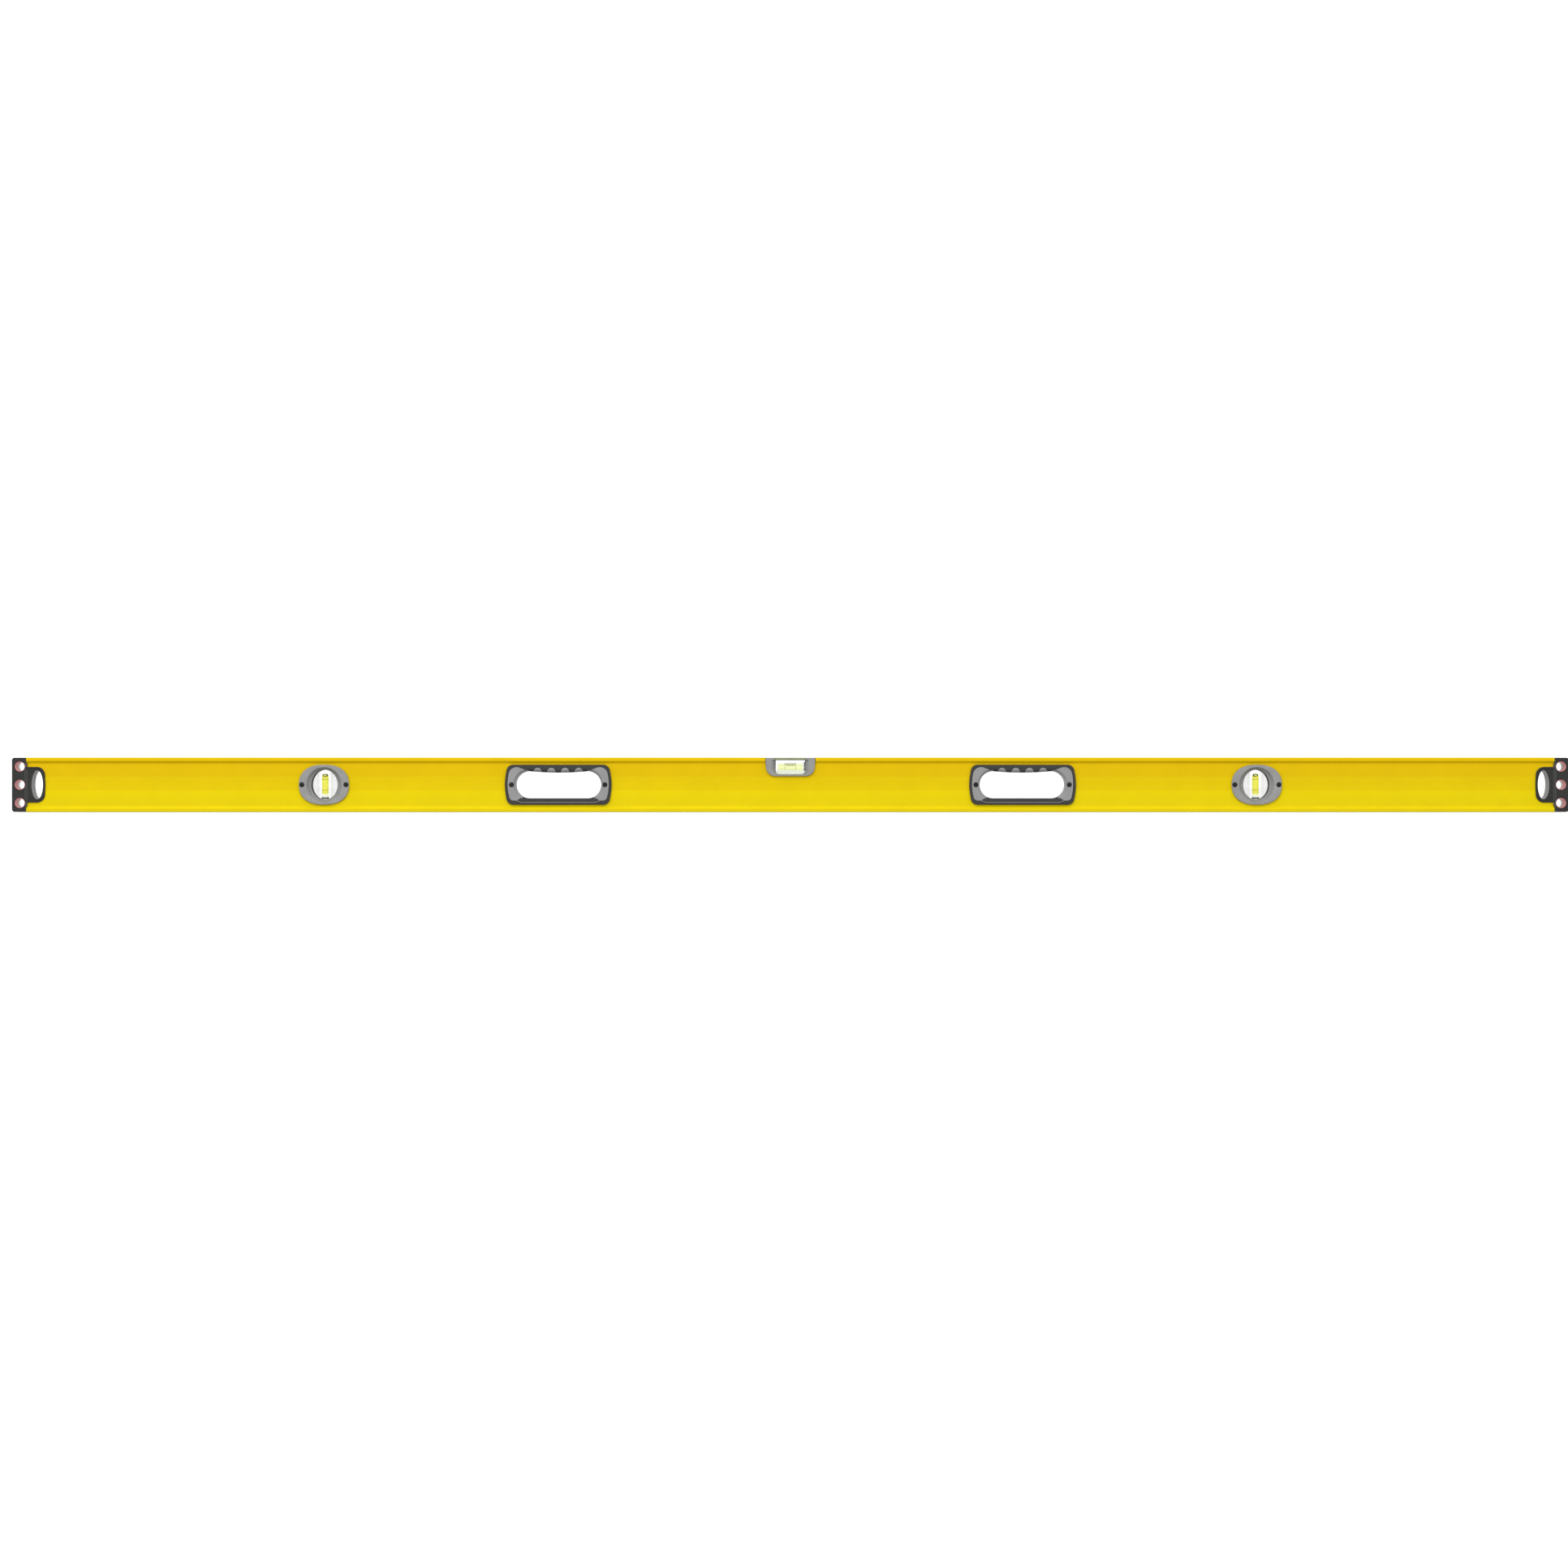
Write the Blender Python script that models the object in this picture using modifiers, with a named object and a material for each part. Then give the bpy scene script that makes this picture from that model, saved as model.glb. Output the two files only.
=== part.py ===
"""Box-beam spirit level, modelled as the separate pieces that it comes apart into.

X runs along the beam, Y through its depth (the front is -Y), Z is up. The origin is on the
lower working face, midway along the level. Lengths are written in millimetres times MM.
"""

import math

import bmesh
import bpy
from mathutils import Matrix, Vector

MM = 0.001

# Overall sizes
LENGTH = 1829 * MM
HEIGHT = 64 * MM
DEPTH = 29 * MM  # over the rails

# Fits
GAP = 0.3 * MM  # between pieces that sit against each other
SPLIT = 0.15 * MM  # from the middle plane to the edge of each moulded half
WELD = 1e-6

# Beam: two thick rails, and a web sunk between them
RAIL_FACE = 4.0 * MM
RAIL_STEP = 2.8 * MM
WEB_RECESS = 3.0 * MM
SIDE_WALL = 1.8 * MM
EDGE_WALL = 2.5 * MM
EDGE_RADIUS = 1.2 * MM

# Screws that draw the moulded halves together
SHANK_RADIUS = 1.5 * MM
HEAD_RADIUS = 2.7 * MM
HEAD_HEIGHT = 1.2 * MM
BOSS_WALL = 1.2 * MM
THREAD_DEPTH = 8.0 * MM  # how far the screw runs into the rear boss
RECESS_WIDTH = 0.8 * MM
RECESS_SPAN = 3.2 * MM
RECESS_DEPTH = 0.7 * MM

# Mouldings that sit on the web
FLANGE_MARGIN = 1.6 * MM  # from the flange to the foot of the rail's step
FLANGE_SHY = 0.1 * MM  # a flange stays behind the rails by this much
LIP = 1.2 * MM

# End caps, measured inwards from the outer end
CAP_REACH = 16.7 * MM
CAP_SHY = 0.2 * MM  # the cap stays behind the working faces
CAP_CORNER = 3.0 * MM
CAP_RAMP = 15.2 * MM  # where the cap's face starts to slope to the web
CAP_LAP = 1.2 * MM  # how far the cap laps over the web
TONGUE_REACH = 26 * MM
BORE_RADIUS = 5.5 * MM  # inside of a liner
LINER_WALL = 0.6 * MM
BORE_FROM_END = 9.35 * MM
BORE_FROM_EDGE = 10.6 * MM
LUG_REACH = 39.1 * MM
LUG_MARGIN = 4.3 * MM
LUG_CORNER = 9.5 * MM
LUG_BULGE = 1.0 * MM
LUG_LAP = 1.6 * MM  # how far the lug's plate laps over the web
LUG_PLATE = 1.3 * MM
LUG_RIM = 1.8 * MM
LUG_POCKET = 0.9 * MM  # how deep the plate is sunk inside its rim
HANG_CENTRE = 29.4 * MM
HANG_HALF_WIDTH = 6.7 * MM
HANG_MARGIN = 4.0 * MM

# Hand holes, measured from their own middle
HANDLE_OFFSET = 272.8 * MM  # from the middle of the level
HAND_HALF_WIDTH = 50.4 * MM
HAND_SAG = 1.7 * MM
HAND_CHAMFER = 2.8 * MM
HAND_CHAMFER_DEPTH = 3.0 * MM
HANDLE_BAND = 7.7 * MM  # the grip's height above and below the opening
HANDLE_END_BAND = 13.2 * MM  # and past its ends
HANDLE_SIDE_TAPER = 4.0 * MM
HANDLE_CORNER = 8.0 * MM
SKIRT_WALL = 2.8 * MM
SKIRT_END = 8.0 * MM
FRAME_PLATE = 1.3 * MM
FRAME_INSET = 1.0 * MM
GRIP_RIM = 2.6 * MM
FINGER_PITCH = 16.1 * MM
FINGER_RADIUS = 5.0 * MM
FINGERS = 4

# Plumb vials, measured from their own middle
PLUMB_FROM_END = 366.5 * MM
PLUMB_HALF_WIDTH = 15.3 * MM  # of the window
PLUMB_MARGIN = 6.0 * MM  # from the bezel's edge to its window, above and below
PLUMB_SIDE_MARGIN = 14.2 * MM  # and at the sides
BEZEL_POWER = 2.35
BEZEL_BEVEL = 1.2 * MM
BEZEL_DISH = 5.2 * MM  # how much wider than the window the dish is, at each side
BEZEL_DISH_SINK = 0.6 * MM
SEAT = 1.7 * MM  # how far a block reaches behind the lip that holds it
POCKET_WALL = 1.4 * MM
SPIGOT = 2.0 * MM  # how much wider than the pocket's wall the bezel's root is
PLUMB_COLUMN = 8.0 * MM
PLUMB_PLATE = 3.0 * MM

# Vials: a block, bored from one end and closed there by a plug
PLUMB_BORE = 4.7 * MM
PLUMB_END_WALL = 5.9 * MM
PLUMB_BUBBLE = (3.0 * MM, 2.0 * MM)  # radius and half height
LEVEL_BORE = 5.3 * MM
LEVEL_HALF_LENGTH = 15.1 * MM
LEVEL_BUBBLE = (6.1 * MM, 2.4 * MM, 1.9 * MM)  # half length, half width, half height
LEVEL_BUBBLE_RISE = 2.3 * MM
BLOCK_WALL = 1.7 * MM
PLUG_GROOVE = 0.8 * MM
RING_WALL = 0.3 * MM
RING_WIDTH = 0.6 * MM
RING_OFFSET = 6.4 * MM

# Level vial, in a notch in the upper rail; heights are measured down from the top
HOUSING_HALF_WIDTH = 29.4 * MM
HOUSING_DROP = 22.0 * MM
HOUSING_TAPER = 1.2 * MM
HOUSING_CORNER = 11.0 * MM
WINDOW_HALF_WIDTH = 17.2 * MM
WINDOW_TOP = 3.1 * MM
WINDOW_DROP = 19.4 * MM
WINDOW_CORNER = 4.0 * MM
WINDOW_FLARE = 4.6 * MM
WINDOW_FLARE_FOOT = 0.8 * MM
LEVEL_AXIS_DROP = 10.2 * MM
TOP_WINDOW_HALF_DEPTH = 5.6 * MM

SHARP = math.radians(35)  # edges steeper than this stay sharp
ROUND = 12  # sides of a small round piece
OVAL = 28  # sides of an oval

# Places that follow from the sizes above
MID = HEIGHT / 2
WEB = DEPTH / 2 - WEB_RECESS  # from the middle plane to the web's face
WEB_HALF_HEIGHT = MID - RAIL_FACE - RAIL_STEP
CAVITY = WEB - SIDE_WALL
SEATED = WEB + GAP  # underside of a flange on the web
FACE = DEPTH / 2 - FLANGE_SHY  # its outer face
FLANGE_HALF_HEIGHT = WEB_HALF_HEIGHT - FLANGE_MARGIN
BOSS_RADIUS = SHANK_RADIUS + GAP + BOSS_WALL
THROUGH = DEPTH  # half length of a cutter that goes right through
HANDLE_HALF_WIDTH = HAND_HALF_WIDTH + HANDLE_END_BAND
HAND_HALF_HEIGHT = FLANGE_HALF_HEIGHT - HANDLE_BAND
HANDLE_SCREW = HAND_HALF_WIDTH + (SKIRT_END + GAP) / 2 + GAP
LUG_HALF_HEIGHT = WEB_HALF_HEIGHT - LUG_MARGIN
PLUMB_HALF_HEIGHT = FLANGE_HALF_HEIGHT - PLUMB_MARGIN
BEZEL_HALF_WIDTH = PLUMB_HALF_WIDTH + PLUMB_SIDE_MARGIN
PLUMB_SCREW = BEZEL_HALF_WIDTH - HEAD_RADIUS - 3 * GAP
PLUMB_BLOCK = PLUMB_BORE + BLOCK_WALL  # half thickness of the plumb vial's block
PLUMB_POCKET = (PLUMB_HALF_WIDTH + SEAT, PLUMB_HALF_HEIGHT + SEAT)
PLUMB_COLLAR = (PLUMB_POCKET[0] + POCKET_WALL, PLUMB_POCKET[1] + POCKET_WALL)
PLUMB_HALF_LENGTH = PLUMB_POCKET[1] - PLUMB_END_WALL  # of the vial's barrel
LEVEL_BLOCK = LEVEL_BORE + BLOCK_WALL
LEVEL_AXIS = HEIGHT - LEVEL_AXIS_DROP


# Outlines: closed lists of (across, up) points

def rounded(corners, steps=3):
    """Polygon from (across, up, radius) corners, each radius turned into an arc."""
    outline = []
    for index, (across, up, radius) in enumerate(corners):
        corner = Vector((across, up))
        before = Vector(corners[index - 1][:2]) - corner
        after = Vector(corners[(index + 1) % len(corners)][:2]) - corner
        if radius <= 0:
            outline.append(corner)
            continue
        half = before.angle(after) / 2
        reach = radius / math.tan(half)
        centre = corner + (before.normalized() + after.normalized()).normalized() * radius / math.sin(half)
        start = corner + before.normalized() * reach - centre
        end = corner + after.normalized() * reach - centre
        turn = start.angle_signed(end)
        for step in range(steps + 1):
            outline.append(centre + Matrix.Rotation(-turn * step / steps, 2) @ start)
    return [tuple(point) for point in outline]


def oval(half_width, half_height, power=2.0, steps=OVAL, centre=(0, 0)):
    """Superellipse; a power of 2 is an ellipse, and more is squarer."""
    outline = []
    for step in range(steps):
        angle = math.tau * (step + 0.5) / steps
        across = math.copysign(abs(math.cos(angle)) ** (2 / power), math.cos(angle))
        up = math.copysign(abs(math.sin(angle)) ** (2 / power), math.sin(angle))
        outline.append((centre[0] + half_width * across, centre[1] + half_height * up))
    return outline


def oval_height(half_width, half_height, across):
    """How high an ellipse is at that distance from its middle."""
    return half_height * math.sqrt(1 - (across / half_width) ** 2)


def symmetric(side, steps=3):
    """The rounded outline whose right half has these corners, listed from bottom to top."""
    return rounded(side + [(-across, up, radius) for across, up, radius in reversed(side)], steps)


def mirrored(outline):
    """The outline and its mirror image, left for right."""
    return outline, [(-across, up) for across, up in outline]


def hand_opening(grow=0.0):
    """The hand hole: round ends, a flat lower edge, and an upper edge that sags in the middle."""
    radius = HAND_HALF_HEIGHT + grow
    straight = HAND_HALF_WIDTH - HAND_HALF_HEIGHT
    ends = 6
    sags = 4
    outline = []
    for step in range(ends + 1):
        angle = math.pi * (step / ends - 0.5)
        outline.append((straight + radius * math.cos(angle), radius * math.sin(angle)))
    for step in range(1, sags):
        across = straight * (1 - 2 * step / sags)
        outline.append((across, radius - HAND_SAG * (1 - (across / straight) ** 2)))
    for step in range(ends + 1):
        angle = math.pi * (step / ends + 0.5)
        outline.append((-straight + radius * math.cos(angle), radius * math.sin(angle)))
    return outline


def handle_outline(inset=0.0):
    """The handle's outer edge: a rounded oblong whose ends bulge."""
    top = FLANGE_HALF_HEIGHT - inset
    end = HANDLE_HALF_WIDTH - inset
    corner = HANDLE_CORNER - inset
    return symmetric([
        (end - HANDLE_SIDE_TAPER, -top, corner),
        (end, 0, 8 * corner),
        (end - HANDLE_SIDE_TAPER, top, corner),
    ])


def skirt_outline(grow=0.0):
    half_width = HAND_HALF_WIDTH + SKIRT_END + grow
    half_height = HAND_HALF_HEIGHT + SKIRT_WALL + grow
    corner = HAND_HALF_HEIGHT - SKIRT_WALL + grow
    return symmetric([(half_width, -half_height, corner), (half_width, half_height, corner)])


def end_window(inset=0.0):
    """The right-hand gap in the rubber, where the frame shows; it runs into the hand hole."""
    top = FLANGE_HALF_HEIGHT - GRIP_RIM - inset
    end = HANDLE_HALF_WIDTH - GRIP_RIM - inset
    inside = HAND_HALF_WIDTH - HAND_HALF_HEIGHT
    return rounded([
        (inside, 0, 0),
        (inside + 7 * MM + inset, -HAND_HALF_HEIGHT + 2 * MM, 0),
        (end - 12 * MM, -top + 2 * MM, 4 * MM),
        (end - HANDLE_SIDE_TAPER, -top + 2 * MM, 5 * MM),
        (end, 0, 60 * MM),
        (end - HANDLE_SIDE_TAPER, top, 9 * MM),
        (end - 14 * MM, top, 6 * MM),
        (inside + 1 * MM + inset, HAND_HALF_HEIGHT + 0.5 * MM, 0),
    ])


def lug_outline(inset=0.0, start=CAP_REACH):
    """The end cap's lug out to its bulged inner end; across is measured from the level's end."""
    half_height = LUG_HALF_HEIGHT - inset
    reach = LUG_REACH - inset
    corner = LUG_CORNER - inset
    return rounded([
        (start, -half_height, 0),
        (reach - LUG_BULGE, -half_height, corner),
        (reach, 0, 8 * corner),
        (reach - LUG_BULGE, half_height, corner),
        (start, half_height, 0),
    ])


def housing_outline(inset=0.0, top=0.0):
    """The level vial's housing: straight across the top and round at its lower corners."""
    side = HOUSING_HALF_WIDTH - inset
    low = HEIGHT - HOUSING_DROP + inset
    return symmetric([
        (side - HOUSING_TAPER, low, HOUSING_CORNER - inset),
        (side, HEIGHT - top, 0),
    ], steps=5)


def window_outline(flare=0.0, foot=0.0, top=WINDOW_TOP):
    side = WINDOW_HALF_WIDTH + flare
    return symmetric([
        (side, HEIGHT - WINDOW_DROP - foot, WINDOW_CORNER),
        (side, HEIGHT - top, 0),
    ], steps=5)


# Making and joining meshes

def clear_scene():
    for item in list(bpy.data.objects):
        bpy.data.objects.remove(item, do_unlink=True)


def collection(name):
    made = bpy.data.collections.new(name)
    bpy.context.scene.collection.children.link(made)
    return made


def linked(name, data):
    """Object to model with; it stays out of renders, and place() makes the ones that are seen."""
    made = bpy.data.objects.new(name, data)
    made.hide_render = True
    made.display_type = "WIRE"
    CUTTERS.objects.link(made)
    return made


def evaluated_mesh(item):
    bpy.context.view_layer.update()
    return bpy.data.meshes.new_from_object(item.evaluated_get(bpy.context.evaluated_depsgraph_get()))


ALONG_X = Matrix(((0, 0, 1, 0), (1, 0, 0, 0), (0, 1, 0, 0), (0, 0, 0, 1)))
ALONG_Y = Matrix(((1, 0, 0, 0), (0, 0, -1, 0), (0, 1, 0, 0), (0, 0, 0, 1)))
ALONG_Z = Matrix.Identity(4)


def prism(outlines, low, high, along=ALONG_Y):
    """Flat outline, with any further outlines as holes in it, extruded from low to high.

    Along Y, low and high are distances in front of the middle plane.
    """
    curve = bpy.data.curves.new("outline", "CURVE")
    curve.dimensions = "2D"
    curve.fill_mode = "BOTH"
    curve.extrude = (high - low) / 2
    for outline in outlines:
        spline = curve.splines.new("POLY")
        spline.points.add(len(outline) - 1)
        for point, (across, up) in zip(spline.points, outline):
            point.co = (across, up, 0, 1)
        spline.use_cyclic_u = True
    made = welded("prism", linked("outline", curve))
    made.data.transform(along @ Matrix.Translation((0, 0, (low + high) / 2)))
    return made


def welded(name, guide):
    """Mesh object in place of a guide, with its loose seams closed."""
    made = linked(name, evaluated_mesh(guide))
    bpy.data.objects.remove(guide, do_unlink=True)
    edit(made, lambda shape: bmesh.ops.remove_doubles(shape, verts=shape.verts, dist=WELD))
    return made


def turned(profile, along=ALONG_Z, ring=False, steps=ROUND):
    """Turns (radius, height) points about the axis; a ring's profile closes on itself."""
    mesh = bpy.data.meshes.new("profile")
    edges = [(step, step + 1) for step in range(len(profile) - 1)]
    edges += [(len(profile) - 1, 0)] if ring else []
    mesh.from_pydata([(radius, 0, height) for radius, height in profile], edges, [])
    guide = linked("profile", mesh)
    screw_turn = guide.modifiers.new("turn", "SCREW")
    screw_turn.steps = steps
    screw_turn.render_steps = steps
    screw_turn.use_merge_vertices = True
    screw_turn.merge_threshold = WELD
    made = welded("turned", guide)
    made.data.transform(along)
    return made


def tube(outer, inner, low, high, along=ALONG_Z):
    return turned([(outer, high), (outer, low), (inner, low), (inner, high)], along, ring=True)


def edit(item, change):
    """Runs change on the object's mesh, and turns all faces outwards."""
    shape = bmesh.new()
    shape.from_mesh(item.data)
    change(shape)
    bmesh.ops.recalc_face_normals(shape, faces=shape.faces)
    shape.to_mesh(item.data)
    shape.free()


def loft(rings, closed=False):
    """Skin through (outline, distance in front of the middle plane) rings of equal counts.

    A closed loft runs from its last ring back to its first, and the other kind has flat ends.
    """
    item = linked("loft", bpy.data.meshes.new("loft"))

    def skin(shape):
        loops = [[shape.verts.new((x, -front, z)) for x, z in outline] for outline, front in rings]
        count = len(loops[0])
        pairs = list(zip(loops, loops[1:])) + ([(loops[-1], loops[0])] if closed else [])
        for near, far in pairs:
            for step in range(count):
                following = (step + 1) % count
                shape.faces.new((near[step], near[following], far[following], far[step]))
        if not closed:
            shape.faces.new(loops[0])
            shape.faces.new(loops[-1])

    edit(item, skin)
    return item


def box(low, high):
    item = linked("box", bpy.data.meshes.new("box"))
    size = Vector(high) - Vector(low)
    middle = (Vector(high) + Vector(low)) / 2
    matrix = Matrix.Translation(middle) @ Matrix.Diagonal((*size, 1))
    edit(item, lambda shape: bmesh.ops.create_cube(shape, size=1, matrix=matrix))
    return item


def rod(radius, low, high, along=ALONG_Y, centre=(0, 0)):
    """Round bar from low to high; along Y, both are distances in front of the middle plane."""
    item = linked("rod", bpy.data.meshes.new("rod"))
    matrix = along @ Matrix.Translation((*centre, (low + high) / 2))
    edit(item, lambda shape: bmesh.ops.create_cone(
        shape, cap_ends=True, segments=ROUND, radius1=radius, radius2=radius, depth=high - low,
        matrix=matrix))
    return item


def ellipsoid(half_x, half_y, half_z):
    item = linked("ellipsoid", bpy.data.meshes.new("ellipsoid"))
    matrix = Matrix.Diagonal((half_x, half_y, half_z, 1))
    edit(item, lambda shape: bmesh.ops.create_uvsphere(
        shape, u_segments=12, v_segments=8, radius=1, matrix=matrix))
    return item


def combine(piece, tools, operation):
    """Joins tools to the piece or cuts them from it, and removes them."""
    for tool in tools:
        modifier = piece.modifiers.new(operation, "BOOLEAN")
        modifier.operation = operation
        modifier.object = tool
    mesh = evaluated_mesh(piece)
    piece.modifiers.clear()
    piece.data = mesh
    for tool in tools:
        bpy.data.objects.remove(tool, do_unlink=True)
    return piece


def join(piece, *tools):
    return combine(piece, tools, "UNION")


def cut(piece, *tools):
    return combine(piece, tools, "DIFFERENCE")


# Naming, finish and place

def finish(name, colour, roughness, metallic=0.0):
    material = bpy.data.materials.new(name)
    material.use_nodes = True
    shader = material.node_tree.nodes["Principled BSDF"]
    shader.inputs["Base Color"].default_value = (*colour, 1)
    shader.inputs["Roughness"].default_value = roughness
    shader.inputs["Metallic"].default_value = metallic
    return material


def solid(name, piece, material):
    """Takes the finished mesh off the object that it was modelled with."""
    mesh = piece.data
    bpy.data.objects.remove(piece, do_unlink=True)
    mesh.name = name
    mesh.materials.clear()
    mesh.materials.append(material)
    mesh.shade_smooth()
    mesh.set_sharp_from_angle(angle=SHARP)
    return mesh


def rear_twin(mesh):
    """Mirror image of a front half in the middle plane."""
    twin = mesh.copy()
    twin.transform(Matrix.Scale(-1, 4, (0, 1, 0)))
    twin.flip_normals()
    return twin


def place(mesh, name, holder, location=(0, 0, 0)):
    piece = bpy.data.objects.new(name, mesh)
    piece.parent = holder
    piece.location = location
    LEVEL.objects.link(piece)


def assembly(name, location, turn=0.0):
    holder = bpy.data.objects.new(name, None)
    LEVEL.objects.link(holder)
    holder.location = location
    holder.rotation_euler.z = turn
    return holder


# The beam

def beam_section():
    """(outer, inner) outlines of the extrusion, across its depth."""
    rail = DEPTH / 2
    step = RAIL_FACE + RAIL_STEP
    outer = symmetric([
        (rail, 0, EDGE_RADIUS),
        (rail, RAIL_FACE, 0),
        (WEB, step, 0),
        (WEB, HEIGHT - step, 0),
        (rail, HEIGHT - RAIL_FACE, 0),
        (rail, HEIGHT, EDGE_RADIUS),
    ], steps=2)
    inner = symmetric([(CAVITY, EDGE_WALL, 0), (CAVITY, HEIGHT - EDGE_WALL, 0)])
    return outer, inner


def shifted(outline, across, up=0.0):
    return [(x + across, z + up) for x, z in outline]


def screw_centres(offset):
    return [(-offset, 0), (offset, 0)]


def beam():
    half = LENGTH / 2 - CAP_REACH - GAP
    made = prism(beam_section(), -half, half, ALONG_X)
    tools = []
    for side in (-1, 1):
        handle = side * HANDLE_OFFSET
        plumb = side * (LENGTH / 2 - PLUMB_FROM_END)
        collar = oval(PLUMB_COLLAR[0] + SPIGOT, PLUMB_COLLAR[1] + GAP)
        tools.append(prism([shifted(skirt_outline(2 * GAP), handle, MID)], -THROUGH, THROUGH))
        tools.append(prism([shifted(collar, plumb, MID)], -THROUGH, THROUGH))
        for across, _ in screw_centres(PLUMB_SCREW):
            tools.append(rod(BOSS_RADIUS + GAP, -THROUGH, THROUGH, centre=(plumb + across, MID)))
        slot = lug_outline(LUG_LAP - GAP, start=-CAP_REACH)
        tools.append(prism([[(side * (LENGTH / 2 - x), z + MID) for x, z in slot]], -THROUGH, THROUGH))
    tools.append(prism([housing_outline(LUG_LAP, top=-GAP)], -THROUGH, THROUGH))
    notch = HOUSING_HALF_WIDTH + 2 * GAP
    web_top = MID + WEB_HALF_HEIGHT - GAP
    tools.append(box((-notch, -THROUGH, web_top), (notch, THROUGH, HEIGHT + THROUGH)))
    return cut(made, *tools)


# End caps, built at the outer end with X running inwards

def end_cap():
    low = CAP_SHY - MID
    rail = DEPTH / 2
    plate = SEATED + LUG_PLATE
    lap = CAP_REACH + CAP_LAP
    lap_height = WEB_HALF_HEIGHT - GAP
    made = prism([rounded([
        (0, low, CAP_CORNER), (CAP_REACH, low, 0), (CAP_REACH, -low, 0), (0, -low, CAP_CORNER),
    ])], -rail, rail)
    inside = CAVITY - GAP
    top = MID - EDGE_WALL - GAP
    tongue = box((CAP_REACH - MM, -inside, -top), (TONGUE_REACH, inside, top))
    lug = prism([lug_outline(LUG_LAP, start=CAP_RAMP)], -SEATED - LUG_PLATE / 2, SEATED + LUG_PLATE / 2)
    join(made, tongue, lug)
    sill = plate + GAP
    ramp = (rail - sill) / (lap - CAP_RAMP)
    slope = [(CAP_RAMP - MM, rail + ramp * MM), (lap, sill), (lap + MM, sill), (lap + MM, DEPTH),
             (CAP_RAMP - MM, DEPTH)]
    pocket = lug_outline(LUG_RIM, start=lap + LUG_RIM)
    tools = [prism([oval(HANG_HALF_WIDTH, LUG_HALF_HEIGHT - HANG_MARGIN, centre=(HANG_CENTRE, 0))],
                   -THROUGH, THROUGH)]
    for side in (-1, 1):
        near, far = sorted((side * SEATED, side * (rail - GAP)))
        join(made, box((CAP_RAMP + MM, near, -lap_height), (lap, far, lap_height)),
             prism([lug_outline(start=CAP_RAMP + MM)], *sorted((side * SEATED, side * plate))))
        tools.append(prism([[(x, side * y) for x, y in slope]], -lap_height - GAP, lap_height + GAP, ALONG_Z))
        tools.append(prism([pocket], *sorted((side * (plate - LUG_POCKET), side * DEPTH))))
    tools += [rod(BORE_RADIUS + LINER_WALL + GAP, -THROUGH, THROUGH, centre=(BORE_FROM_END, up))
              for up in bore_heights()]
    return cut(made, *tools)


def bore_heights():
    spacing = MID - BORE_FROM_EDGE
    return (-spacing, 0, spacing)


def bore_liner():
    reach = DEPTH / 2 - GAP
    return tube(BORE_RADIUS + LINER_WALL, BORE_RADIUS, -reach, reach, ALONG_Y)


# Screws, bosses and the holes for them

def screw(seat):
    """Flat-topped screw, from its head on the seat to its tip in the rear boss."""
    head = seat + HEAD_HEIGHT
    made = turned([
        (0, head), (HEAD_RADIUS, head), (HEAD_RADIUS, seat),
        (SHANK_RADIUS, seat), (SHANK_RADIUS, -THREAD_DEPTH), (0, -THREAD_DEPTH),
    ], ALONG_Y)
    slots = [(RECESS_SPAN / 2, RECESS_WIDTH / 2), (RECESS_WIDTH / 2, RECESS_SPAN / 2)]
    cross = [box((-x, -head - MM, -z), (x, RECESS_DEPTH - head, z)) for x, z in slots]
    return cut(made, join(*cross))


def screw_seat():
    """Distance of a counterbore's floor in front of the middle plane."""
    return FACE - HEAD_HEIGHT - 2 * GAP


def front_screw_holes(offset):
    return [rod(radius, low, THROUGH, centre=centre)
            for centre in screw_centres(offset)
            for radius, low in ((SHANK_RADIUS + GAP, -MM), (HEAD_RADIUS + GAP, screw_seat()))]


def rear_screw_holes(offset):
    """Blind holes in the rear half, drawn in front of the middle plane before it is mirrored."""
    return [rod(SHANK_RADIUS + GAP, -MM, THREAD_DEPTH + GAP, centre=centre)
            for centre in screw_centres(offset)]


# Hand holes

def handle_frame(screw_holes):
    """Hard half of a handle: a plate on the web, a skirt through the beam, and pads for the grip's gaps."""
    pad_face = FACE - GAP / 2
    plate = SEATED + FRAME_PLATE
    made = prism([handle_outline(FRAME_INSET)], SEATED, plate)
    root = SEATED + FRAME_PLATE / 2
    pads = [prism([outline], root, pad_face) for outline in mirrored(end_window(GAP))]
    pads += [rod(FINGER_RADIUS - GAP, root, pad_face, centre=centre) for centre in finger_centres()]
    join(made, prism([skirt_outline()], SPLIT, root), *pads)
    return cut(made, hand_cutter(), *screw_holes)


def handle_grip():
    """Rubber face over the frame, open where the frame's pads show."""
    made = prism([handle_outline()], SEATED + FRAME_PLATE + GAP, FACE)
    windows = [prism([outline], 0, THROUGH) for outline in mirrored(end_window())]
    windows += [rod(FINGER_RADIUS, 0, THROUGH, centre=centre) for centre in finger_centres()]
    return cut(made, hand_cutter(), *windows)


def hand_cutter():
    """The hand hole, chamfered at the face."""
    over = GAP * HAND_CHAMFER / HAND_CHAMFER_DEPTH
    return loft([(hand_opening(), -MM), (hand_opening(), FACE - HAND_CHAMFER_DEPTH),
                 (hand_opening(HAND_CHAMFER + over), FACE + GAP)])


def finger_centres():
    first = -(FINGERS - 1) / 2
    return [((first + step) * FINGER_PITCH, HAND_HALF_HEIGHT - HAND_SAG + MM) for step in range(FINGERS)]


# Plumb vials

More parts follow.
